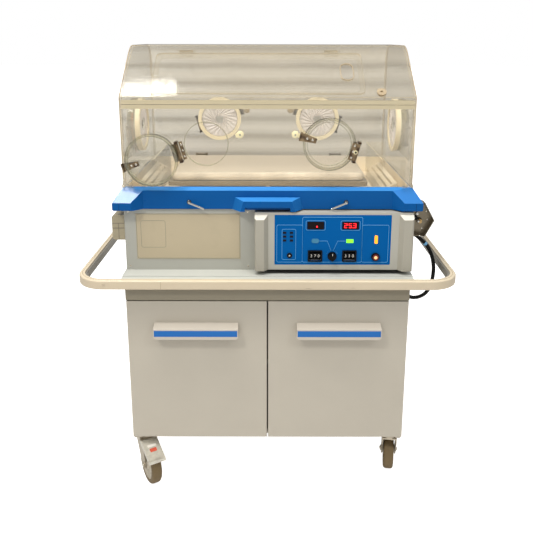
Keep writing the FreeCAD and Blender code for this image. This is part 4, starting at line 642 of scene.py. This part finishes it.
def printed_frame(name, x, z):
    """A printed frame with cut corners."""
    cut = 3.0
    corners = ((x[0], z[0], 1, 1), (x[1], z[0], -1, 1), (x[1], z[1], -1, -1), (x[0], z[1], 1, -1))
    points = []
    for index, (cx, cz, sx, sz) in enumerate(corners):
        pair = [(cx, cz + sz * cut), (cx + sx * cut, cz)]
        points += pair if index % 2 == 0 else pair[::-1]
    printed(name, points, 1.4, True)


def lit_mark(name, x, z, round_by=0.0, segments=2):
    return box(name, (x[0], FASCIA_FRONT - 2.0, z[0]), (x[1], FASCIA_FRONT - 1.4, z[1]), "lit_red",
               "stand", round_by, segments=segments)


def digit(name, text, x, z):
    """One seven-segment numeral, from its left edge and middle height."""
    width, half, grow = 7.2, 6.25, 0.72
    for segment in SEGMENTS[text]:
        left, low, right, high = BARS[segment]
        gap = grow if left == right else -grow
        bar = lit_mark(f"{name}_{segment}", (x + left * width - grow, x + right * width + grow),
                       (z + low * half + gap, z + high * half - gap), 0.2, 1)


def lens_finish(centre, normal):
    """The finish of the window or lens that a face of the fittings belongs to."""
    for key, x, z in LENSES:
        if x[0] < centre.x * 1000 < x[1] and z[0] < centre.z * 1000 < z[1]:
            return key
    return None


def numerals(name, middle, body, text):
    """Plain numbers on one set of setpoint wheels."""
    for index, mark in enumerate(text):
        curve = bpy.data.curves.new(f"{name}_{index}", "FONT")
        curve.body = mark
        curve.size = 0.0125
        curve.extrude = 0.0001
        curve.align_x = "CENTER"
        curve.align_y = "CENTER"
        curve.materials.append(M["numeral"])
        place = Vector((middle + (index - 1) * 11, FASCIA_FRONT - 2.12, 745)) / 1000
        upright = Matrix.Translation(place) @ Matrix.Rotation(math.pi / 2, 4, "X")
        added(f"{name}_{index}", curve, body, upright)


def dress_fascia():
    """Printed frames, leader lines and dial marks, lit displays and the controls' marks."""
    for tag, (x, z) in FRAMES.items():
        printed_frame(f"frame_{tag}", x, z)
    for name, ends in LEADER_LINES.items():
        printed(name, ends, 1.2)
    for index in range(9):
        angle = math.radians(-60 + 15 * index)
        ends = [(DIAL[0] + reach * math.sin(angle), DIAL[1] + reach * math.cos(angle))
                for reach in (16.5, 19.0)]
        printed(f"dial_tick_{index}", ends, 1.0)
    for index, text in enumerate("253"):
        digit(f"display_right_{index}", text, 228 + index * 13.2, 839.5)
    lit_mark("display_point", (251.6, 253.4), (832.2, 834.0))
    lit_mark("display_left_point", (144.5, 148.5), (834.5, 838.5), 0.3)
    repaint("fascia_fittings", lens_finish, "window_dark", "lens_dark", "lens_teal", "lit_green",
            "lit_orange")
    disc("jack_core", (65.5, -263.1, 746.5), FRONT, 2.6, 0.6, "screw", "stand", dome=0.8)
    disc("button_glow", (323, -269.0, 742.5), FRONT, 4.8, 0.4, "lit_button", "push_button", dome=0.8)
    box("knob_mark", (192.3, -279.4, 750), (193.7, -278.6, 757.5), "numeral", "mode_dial", 0.2)
    numerals("setpoint_mark_left", 142, "setpoint_left", "370")
    numerals("setpoint_mark_right", 244.5, "setpoint_right", "330")


# Casters
CASTER_AT = (392, 261)
TRAIL = 42
AXLE_HEIGHT = 62.5
HUB_RADIUS = 46.2
PEDAL_AT = (0, -66, 125.6)
PEDAL_SLOPE = 25.6
CASTER_YAWS = ((-1, -1, 30), (1, -1, 171), (-1, 1, 171), (1, 1, 189))


def placed(matrix, *spot):
    """A spot in a piece's own frame, in the common frame."""
    return matrix @ (Vector(spot) / 1000) * 1000


def turned(matrix, *direction):
    return matrix.to_3x3() @ Vector(direction)


def dress_caster(word, side, end, yaw):
    """Hub, axle caps and wheel ribs, and in front the pedal's plate and red insert."""
    place = Vector((side * CASTER_AT[0], end * CASTER_AT[1], 0)) / 1000
    turn = Matrix.Translation(place) @ Matrix.Rotation(math.radians(yaw), 4, "Z")
    back = turn.inverted()

    def wheel_finish(centre, normal):
        local = back @ centre * 1000
        return "hub" if math.hypot(local.y + TRAIL, local.z - AXLE_HEIGHT) < HUB_RADIUS else None

    repaint(f"caster_wheel_{word}", wheel_finish, "hub")
    for face in (-1, 1):
        screw(f"axle_cap_{word}_{face + 1}", placed(turn, face * 26.4, -TRAIL, AXLE_HEIGHT),
              turned(turn, face, 0, 0), 5.2, f"swivel_{word}", 2.4)
    for index in range(6):
        angle = math.pi * index / 3
        spot = (-TRAIL + 31 * math.cos(angle), AXLE_HEIGHT + 31 * math.sin(angle))
        for face in (-1, 1):
            disc(f"wheel_rib_{word}_{index}_{face + 1}", placed(turn, face * 7.3, *spot),
                 turned(turn, face, 0, 0), 3.4, 1.6, "hub", f"wheel_{word}")
    if end > 0:
        return
    tread = turn @ Matrix.Translation(Vector(PEDAL_AT) / 1000)
    slope = tread @ Matrix.Rotation(math.radians(PEDAL_SLOPE), 4, "X")
    for tag, low, high, key in (("frame", (-14, -17, 0), (14, 17, 1.2), "white"),
                                ("insert", (-11, -14, 1.0), (11, 3, 2.0), "red")):
        item = box(f"pedal_{tag}_{word}", low, high, key, f"pedal_{word}", 0.4, turn=slope)


# Hand ports
SLANT = math.radians(16)
HINGE_REACH = 5.7
HINGE_OUT = 15
DOOR_FACE = 20
CATCH_REACH = 27


class Port:
    """A hand port. In its frame X runs along the wall to the latch, Y outward and Z across."""

    def __init__(self, word, outward, level, spot, radius, wall_body, opened=False):
        self.word = word
        self.spot = spot
        self.radius = radius
        self.wall_body = wall_body
        along = Vector(level) * math.cos(SLANT) + Vector(UP) * math.sin(SLANT)
        out = Vector(outward)
        turn = Matrix((along, out, along.cross(out))).transposed().to_4x4()
        self.wall = Matrix.Translation(Vector(spot) / 1000) @ turn
        self.door = self.swung() if opened else self.wall
        self.to_wall = self.wall.inverted()
        self.to_door = self.door.inverted()

    def swung(self):
        """The frame of a door turned half round about its hinge."""
        hinge = self.wall @ (Vector((-self.radius - HINGE_REACH, HINGE_OUT, 0)) / 1000)
        half_turn = Matrix.Rotation(math.pi, 4, turned(self.wall, 0, 0, 1))
        return Matrix.Translation(hinge) @ half_turn @ Matrix.Translation(-hinge) @ self.wall


PORTS = (
    Port("front_left", FRONT, RIGHT, (-PORT_PITCH, HOOD_FRONT, 1078), 77, "access_panel", opened=True),
    Port("front_right", FRONT, LEFT, (PORT_PITCH, HOOD_FRONT, 1078), 77, "access_panel"),
    Port("rear_left", BACK, RIGHT, (-PORT_PITCH, HOOD_BACK, 1089), 77, "hood"),
    Port("rear_right", BACK, LEFT, (PORT_PITCH, HOOD_BACK, 1089), 77, "hood"),
    Port("end_left", LEFT, BACK, (-HOOD_SIDE, *END_PORT), 86, "hood"),
    Port("end_right", RIGHT, BACK, (HOOD_SIDE, *END_PORT), 86, "hood"),
)


def dress_port(port):
    """A door's rims and metal parts, its screws and hinge plunger, and the catch on the wall."""
    word, radius, wall_body, body = port.word, port.radius, port.wall_body, f"port_{port.word}"
    out, wall_out = turned(port.door, 0, 1, 0), turned(port.wall, 0, 1, 0)

    def door_finish(centre, normal):
        local = port.to_door @ centre * 1000
        reach = math.hypot(local.x, local.z)
        if local.y > 18.15 or reach > radius + 0.4:
            return "bronze"
        if reach > radius - 0.3:
            return "outline"
        return "rim" if local.y < 13.8 and reach > radius - 12 else None

    repaint(f"port_door_{word}", door_finish, "bronze", "rim", "outline")
    box(f"strap_back_{word}", (radius - 36, 12.6, -7), (radius - 8, 13.9, 7), "bronze", body, 0.3,
        turn=port.door)
    for index, x in enumerate((radius - 29, radius - 15)):
        screw(f"strap_nut_{word}_{index}", placed(port.door, x, 12.6, 0), -out, 3.4, body, 1.6)
    box(f"wall_leaf_{word}", (-radius - 0.5, 0.1, -27), (-radius + 10, 1.0, 27), "bronze", wall_body,
        0.2, turn=port.wall)
    for index, z in enumerate((-18, 0, 18)):
        screw(f"wall_leaf_screw_{word}_{index}", placed(port.wall, -radius + 5, 1, z), wall_out, 3.0,
              wall_body, 0.4)
    hinge = -radius - HINGE_REACH
    for index, z in enumerate((-18, 0, 18)):
        screw(f"hinge_screw_{word}_{index}", placed(port.door, hinge + 12, DOOR_FACE, z), out, 3.0,
              body, 1.6)
    for index, x in enumerate((radius - 25, radius - 9)):
        screw(f"strap_screw_{word}_{index}", placed(port.door, x, DOOR_FACE, 0), out, 3.4, body, 1.8)
    disc(f"hinge_plunger_{word}", placed(port.door, hinge + 4, DOOR_FACE, 0), out, 6.0, 1.4,
         "knob_cream", body)
    disc(f"hinge_button_{word}", placed(port.door, hinge + 4, DOOR_FACE + 1.2, 0), out, 3.2, 0.9,
         "black", body, dome=0.8)
    catch = radius + CATCH_REACH
    disc(f"catch_cap_{word}", placed(port.wall, catch, 13.8, 0), wall_out, 10.2, 1.2, "knob_cream",
         wall_body, dome=2.2)
    box(f"catch_beak_{word}", (radius + 13.6, 12.9, -5), (catch - 1, 15.4, 5), "knob_cream", wall_body,
        0.6, turn=port.wall)
    disc(f"catch_pin_{word}", placed(port.wall, catch, 16.6, 0), wall_out, 2.6, 0.8, "plate_line",
         wall_body, dome=0.5)


def wall_finish(centre, normal):
    """Metal for the hinge lugs and pins, a yellower cut edge round each port."""
    for port in PORTS:
        local = port.to_wall @ centre * 1000
        reach = math.hypot(local.x, local.z)
        beside_hinge = local.x < 1 - port.radius and reach < port.radius + 45 and abs(local.z) < 34
        if beside_hinge and local.y > 0.6:
            return "bronze"
        if 0.4 < local.y < 12 and reach < port.radius + 2:
            return "rim"
    return None


def hood_finish(centre, normal):
    """As the walls, with a yellower cut edge at the foot and beside the front opening."""
    x, y, z = abs(centre.x) * 1000, centre.y * 1000, centre.z * 1000
    at_foot = abs(normal.z) > 0.98 and z < 950
    beside_opening = normal.y < -0.98 and 424 < x < 430 and y < HOOD_FRONT + 1
    return wall_finish(centre, normal) or ("edge" if at_foot or beside_opening else None)


# Soft films in the ports
def gathered_film(name, rings, around, place):
    """A thin film through rings of places; place(t, angle) has t from zero outside to one inside."""
    bm = bmesh.new()
    angles = [2 * math.pi * index / around for index in range(around)]
    bridge(bm, [[bm.verts.new([c / 1000 for c in place(ring / rings, angle)]) for angle in angles]
                for ring in range(rings + 1)])
    item = mesh_object(name, bm, "film", "hood", smooth=True)
    item.modifiers.new("thickness", "SOLIDIFY").thickness = 0.0003
    return item


def sleeve(word, spot):
    """Gathered iris film: pleats deepen and twist towards the small hole."""
    pleats = 22

    def place(t, angle):
        turn = angle + 0.55 * t * t
        radius = (65.2 - 51.0 * t) * (1 + 0.10 * math.sin(3 * angle + 1.3) * t)
        fold = math.sin(pleats * angle + 0.8 * math.sin(2 * angle))
        depth = fold * (0.35 + 2.4 * t) * (1 - 0.25 * t) - 12.5
        crease = 0.8 * math.sin(2.3 * pleats * angle + 2.0) * t
        sag = 3.0 * t
        return (spot[0] + radius * math.cos(turn), spot[1] + depth + crease,
                spot[2] + radius * math.sin(turn) - sag)

    item = gathered_film(f"sleeve_{word}", 16, 240, place)
    return item


def cuff(word, side):
    """Soft film cuff inside an end port's ring, gathered to an open middle."""
    pleats = 26

    def place(t, angle):
        radius = 73.5 - 50 * t + 0.8 * t * math.sin(5 * angle)
        fold = 1.3 * math.sin(pleats * angle + math.sin(3 * angle)) * (0.3 + t)
        return (side * (HOOD_SIDE - 17 + fold), END_PORT[0] + radius * math.cos(angle),
                END_PORT[1] + radius * math.sin(angle))

    item = gathered_film(f"cuff_{word}", 8, 160, place)


# Mattress
def pillow(name, low, high, key, body):
    """A padded slab swollen by cloth pressure, then smoothed; corners pull in."""
    inset, swell, crown = 0.002, 0.0024, 0.004  # metres
    bm = bmesh.new()
    bmesh.ops.create_cube(bm, size=1.0)
    size = [(b - a) / 1000 for a, b in zip(low, high)]
    middle = Vector([(a + b) / 2000 for a, b in zip(low, high)])
    bmesh.ops.scale(bm, vec=(size[0] - inset * 2, size[1] - inset * 2, size[2] - inset * 1.6),
                    verts=bm.verts)
    upright = [e for e in bm.edges if abs(e.verts[0].co.z - e.verts[1].co.z) > 0.01]
    bmesh.ops.bevel(bm, geom=upright, offset=0.022, segments=5, affect="EDGES", profile=0.5)
    bmesh.ops.transform(bm, matrix=Matrix.Translation(middle), verts=bm.verts)
    item = mesh_object(name, bm, key, body, smooth=True)
    bpy.context.view_layer.objects.active = item
    remesh = item.modifiers.new("remesh", "REMESH")
    remesh.mode = "VOXEL"
    remesh.voxel_size = 0.005
    apply_modifiers(item)
    rest = [v.co.copy() for v in item.data.vertices]
    cloth = item.modifiers.new("cloth", "CLOTH")
    cloth.settings.use_pressure = True
    cloth.settings.uniform_pressure_force = 4.0
    cloth.settings.effector_weights.gravity = 0.0
    cloth.settings.quality = 5
    for step in range(1, 16):
        bpy.context.scene.frame_set(step)
    apply_modifiers(item)
    bpy.context.scene.frame_set(1)
    lowest, highest = low[2] / 1000 + 0.0002, high[2] / 1000 + crown
    for vertex, start in zip(item.data.vertices, rest):
        move = vertex.co - start
        if move.length > swell:
            vertex.co = start + move.normalized() * swell
        vertex.co.z = max(lowest, min(highest, vertex.co.z))
    item.modifiers.new("smooth", "SMOOTH").iterations = 3
    apply_modifiers(item)
    for face in item.data.polygons:
        face.use_smooth = True
    return item


def apply_modifiers(item):
    """Bakes an object's modifiers into its mesh."""
    depsgraph = bpy.context.evaluated_depsgraph_get()
    baked = bpy.data.meshes.new_from_object(item.evaluated_get(depsgraph))
    item.modifiers.clear()
    item.data = baked


def make_mattress():
    low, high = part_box("mattress")
    mattress = pillow("mattress_pad", [c * 1000 for c in low], [c * 1000 for c in high], "mattress", "tray")
    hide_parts("mattress")
    seam_z = (low.z + high.z) * 500
    seam = [(x, y + 33.5, seam_z) for x, y in rounded_loop(305.0, 155.0, 22, 6)]
    drawn_line("mattress_piping", seam, 2.6, "mattress", "tray")


# Hood
def hood_seam(name, x, inset, width, key):
    """A bright line along an end wall's edge, set in from the hood's outline."""
    corners = ((HOOD_FRONT + inset, 952), (HOOD_FRONT + inset, 1214 + inset * 0.2),
               (-36.5 + inset * 0.3, HOOD_TOP - inset), (HOOD_BACK - inset, HOOD_TOP - inset),
               (HOOD_BACK - inset, 952))
    path = rounded_path(corners, (14, 120 - inset, 60 - inset))
    drawn_line(name, [(x, p[0], p[1]) for p in path], width, key, "hood", closed=False)


def dress_hood():
    """Strips and rings on the end walls, the red arc, corner screws, seams and bend lines."""
    for side, word in SIDES:
        strip_x = sorted((side * (HOOD_SIDE - 7.2), side * (HOOD_SIDE - 6.6)))
        box(f"end_strip_{word}", (strip_x[0], -190, 1022), (strip_x[1], -53, 1130), "strip", "hood")
        disc(f"end_tape_ring_{word}", (side * (HOOD_SIDE - 20.4), *END_PORT), (-side, 0, 0), 85.6, 0.8,
             "cream", "hood", inner=74.5, segments=48)
    angles = [math.radians(150 + 9 * index) for index in range(13)]
    arc = [(-HOOD_SIDE - 1.2, END_PORT[0] + 91.5 * math.cos(a), END_PORT[1] + 91.5 * math.sin(a))
           for a in angles]
    drawn_line("port_seal_arc", arc, 2.2, "red", "hood", False)
    for side, word in SIDES:
        for index, z in enumerate((964, 972)):
            screw(f"panel_ear_screw_{word}_{index}", (side * (HOOD_SIDE - 3), HOOD_FRONT - 0.3, z), FRONT,
                  1.9, "hood", 0.9)
    for side, word in SIDES:
        hood_seam(f"hood_seam_{word}", side * (HOOD_SIDE - 1.6), 1.7, 3.0, "seam")
        hood_seam(f"hood_seam_inner_{word}", side * (HOOD_SIDE - 6.8), 6.8, 1.6, "edge")
    for tag, y, z in (("bend", -224.2, 1213.4), ("ridge", -35, 1354.6), ("back", 278, 1353.6)):
        ends = [(side * (HOOD_SIDE - 3), y, z) for side, word in SIDES]
        drawn_line(f"hood_crease_{tag}", ends, 1.4, "edge", "hood", closed=False)


# Skirt, filter box and rail joint
def dress_skirt():
    """Crank holes with their washers, the filter box's lines and the bumper's joint."""
    for side, word in SIDES:
        x, z = side * CRANK[0], CRANK[1]
        disc(f"crank_hole_{word}", (x, SKIRT_FRONT, z), FRONT, 7.0, 0.5, "black", "stand")
        disc(f"crank_washer_{word}", (x, SKIRT_FRONT - 0.5, z), FRONT, 4.6, 1.2, "chrome", "stand",
             inner=3.3)
    lines = (((-470, -434), (833, 835)), ((-470, -434), (818, 820)), ((-452, -450.5), (784, 833)))
    for index, (x, z) in enumerate(lines):
        line = box(f"filter_line_{index}", (x[0], -221.6, z[0]), (x[1], -220.6, z[1]), "laminate_edge",
                   "stand")
    joint = box("rail_joint", (-313.4, RAIL_FRONT - 0.25, 664), (-312.4, RAIL_FRONT + 0.4, 687), "groove",
                "stand")


# Service pan
PAN_EDGE = ((460, 893), (488.4, 883), (520.4, 825), (492.4, 772), (474, 776))


def dress_pan():
    """Screws, bright edge, small valves and collars."""
    screws = ((500, 850, 3.5), (505, 822, 3.5), (489, 792, 3.5), (466, 890, 2.6))
    for index, (x, z, radius) in enumerate(screws):
        screw(f"pan_screw_{index}", (x, PAN_FRONT, z), FRONT, radius, "stand", 1.6)
    edge = [(x, -154.2, z) for x, z in PAN_EDGE]
    drawn_line("pan_edge", edge, 2.4, "chrome", "stand", closed=False)
    valves = ((459, 868, 6.5, "black"), (463, 851, 5.0, "chrome"), (458, 838, 7.5, "black"),
              (468, 826, 4.0, "chrome"))
    for index, (x, z, radius, key) in enumerate(valves):
        disc(f"pan_valve_{index}", (x, -157, z), FRONT, radius, 10.0, key, "stand", dome=2.0)
    for index, (x, z) in enumerate(((452, 862), (474, 862), (452, 838), (478, 820), (452, 806))):
        disc(f"pan_collar_{index}", (x, PAN_FRONT - 1.5, z), FRONT, 9.0, 3.0,
             "black" if index % 2 else "brass", "stand")


# Mains lead
ROUTE = (
    (447, -112, 784), (486, -112, 758), (521, -113, 722), (539, -115, 668), (537, -116, 612),
    (523, -117, 572), (494, -118, 552.4), (459, -119, 554.2), (432.2, -120, 576.7),
)


def make_lead():
    """The mains lead from the base to the cabinet, with a blue tag."""
    lead = curve_object("mains_lead", "NURBS", ROUTE, 12, 5, "rubber", "stand")
    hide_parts("mains_cord")
    tag = disc("lead_tag", (503.5, -112.6, 739.8), (0.707, -0.02, -0.707), 7.0, 9.0, "tape", "stand",
               inner=6.1)


# Camera and studio
def place_camera():
    """The photo's camera, found from its straight edges in pixels; places in metres."""
    width, focal = 533.0, 650.0
    data = bpy.data.cameras.new("camera")
    data.sensor_width = 36.0
    data.lens = focal / width * data.sensor_width
    data.shift_x = -4.8 / width
    data.shift_y = -70.5 / width
    data.clip_start = 0.05
    data.clip_end = 60.0
    camera = bpy.data.objects.new("camera", data)
    bpy.context.collection.objects.link(camera)
    down, roll = math.radians(13.75), math.radians(0.1)
    camera.matrix_world = (Matrix.Translation((0.0108, -2.110, 1.382))
                           @ Matrix.Rotation(math.pi / 2 - down, 4, "X")
                           @ Matrix.Rotation(roll, 4, "Z"))
    bpy.context.scene.camera = camera


def room_tone(n):
    """The warm room as seen only through the clear sheets, with soft level bands; paler to the left as a
    painted highlight on the hood's roof.
    """
    window = n.add("ShaderNodeTexCoord", output="Window")
    across, height = n.axis(window, 0), n.axis(window, 1)
    tone = n.mix(n.ramp(height, 0.62, 0.95), srgb(194, 187, 174), srgb(205, 197, 184))
    # Painted highlight: paler towards the left of the view, where the roof shows a bright gradient.
    tone = n.mix(n.ramp(across, 0.44, 0.24, 0.0, 0.75), tone, srgb(236, 234, 229))
    level = n.add("ShaderNodeMapping", {"Scale": (0.6, 9.0, 1.0), "Vector": window}, "Vector")
    cloud = n.add("ShaderNodeTexNoise", {"Scale": 2.0, "Vector": level}, "Fac")
    bands = n.add("ShaderNodeTexWave", {"Scale": 9.5, "Distortion": 0.7, "Detail": 1.0, "Vector": window},
                  "Fac", wave_profile="SIN", bands_direction="Y")
    tone = n.mix(n.ramp(cloud, 0.35, 0.65, 0.0, 0.4), tone, srgb(184, 178, 166))
    tone = n.mix(n.ramp(bands, 0.35, 0.05, 0.0, 0.5), tone, srgb(222, 215, 203))
    dark = n.math("MULTIPLY", n.ramp(bands, 0.62, 0.98, 0.0, 0.7), n.ramp(cloud, 0.3, 0.6))
    return n.mix(dark, tone, srgb(152, 145, 134))


def seen_through_sheet(n):
    """One for a ray that has passed a clear sheet."""
    return n.math("GREATER_THAN", n.add("ShaderNodeLightPath", output="Transparent Depth"), 0.5)


def make_floor():
    """A matt floor that the camera sees as nearly white, or as the room through a clear sheet."""
    half = 30
    corners = [(-half, -half, 0), (half, -half, 0), (half, half, 0), (-half, half, 0)]
    mesh = bpy.data.meshes.new("floor")
    mesh.from_pydata(corners, [], [(0, 1, 2, 3)])
    floor = bpy.data.objects.new("floor", mesh)
    bpy.context.collection.objects.link(floor)
    n = new_material("floor")
    matt = n.add("ShaderNodeBsdfDiffuse", {"Color": (0.9, 0.9, 0.9, 1)})
    white = n.add("ShaderNodeEmission", {"Color": srgb(255, 255, 255), "Strength": 0.86})
    lit = n.add("ShaderNodeAddShader", {0: matt, 1: white})
    room = n.add("ShaderNodeEmission", {"Color": room_tone(n)})
    seen = n.blend(seen_through_sheet(n), lit, room)
    to_camera = n.add("ShaderNodeLightPath", output="Is Camera Ray")
    mesh.materials.append(n.finish(n.blend(to_camera, matt, seen)))


def make_surround():
    """White to the camera, the room through a clear sheet, and a soft light for everything else."""
    n = Nodes(bpy.data.worlds.new("studio"), "ShaderNodeOutputWorld")
    height = n.axis(n.add("ShaderNodeTexCoord", output="Generated"), 2)
    strength = n.ramp(height, -0.1, 0.8, 0.24, 0.62)
    lit = n.add("ShaderNodeBackground", {"Color": (1.0, 0.985, 0.96, 1), "Strength": strength})
    colour = n.mix(seen_through_sheet(n), srgb(255, 255, 255), room_tone(n))
    seen = n.add("ShaderNodeBackground", {"Color": colour})
    to_camera = n.add("ShaderNodeLightPath", output="Is Camera Ray")
    bpy.context.scene.world = n.finish(n.blend(to_camera, lit, seen))


def area(name, place, target, size, power, colour=(1, 0.97, 0.92)):
    """An area lamp, its place, target and size in metres and its power in watts."""
    lamp = bpy.data.lights.new(name, "AREA")
    lamp.shape = "RECTANGLE"
    lamp.size, lamp.size_y = size
    lamp.energy = power
    lamp.color = colour
    item = bpy.data.objects.new(name, lamp)
    bpy.context.collection.objects.link(item)
    aim = (Vector(target) - Vector(place)).normalized().to_track_quat("-Z", "Y").to_matrix().to_4x4()
    item.matrix_world = Matrix.Translation(place) @ aim
    return item


def make_lamps():
    """Two small lamps and two large soft ones, a strip inside the hood, and three for glares."""
    area("key", place=(-1.5, -2.3, 3.3), target=(0, 0, 0.7), size=(0.4, 0.3), power=35)
    inside = area("inside", place=(0, -0.19, 1.17), target=(0, 0, 0.93), size=(0.8, 0.06), power=0.7)
    inside.visible_glossy = False
    inside.visible_camera = False
    area("fill", place=(1.9, -2.3, 2.9), target=(0, 0, 0.7), size=(0.4, 0.3), power=17,
         colour=(0.96, 0.98, 1))
    area("front", place=(0, -3.2, 0.9), target=(0, 0, 0.6), size=(2.4, 1.4), power=6)
    top = area("top", place=(-0.1, -0.7, 3.2), target=(0, -0.2, 0.5), size=(1.3, 0.7), power=33)
    top.visible_glossy = False
    for index, (x, y, size) in enumerate(((-0.80, 0.055, (0.52, 0.07)), (-0.76, 0.15, (0.46, 0.085)))):
        area(f"glare_roof_{index}", place=(x, y, 3.0), target=(x, y, 0), size=size, power=1.7)
    area("glare_skirt", place=(-0.86, -0.70, 3.0), target=(-0.86, -0.70, 0), size=(0.42, 0.5), power=11)


finish_cad_pieces()
repaint("roof_flap", lid_edges, "edge")
repaint("deck_skirt", skirt_finish, "floor_cream", "skirt_lit_slope")
repaint("end_baffles", screen_edges, "edge")
dress_stand()
dress_lid()
dress_base()
dress_fascia()
for corner, place_and_yaw in zip(CORNERS, CASTER_YAWS):
    dress_caster(corner, *place_and_yaw)
for hand_port in PORTS:
    dress_port(hand_port)
repaint("front_panel", wall_finish, "bronze", "rim")
repaint("hood_shell", hood_finish, "bronze", "rim", "edge")
cuff("left", -1)
cuff("right", 1)
sleeves = [sleeve("left", PORTS[2].spot), sleeve("right", PORTS[3].spot)]
for item in sleeves:
    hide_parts("iris_sleeves")
make_mattress()
dress_hood()
dress_skirt()
dress_pan()
make_lead()
place_camera()
make_floor()
make_surround()
make_lamps()

scene = bpy.context.scene
scene.view_settings.view_transform = "Standard"
scene.view_settings.look = "None"
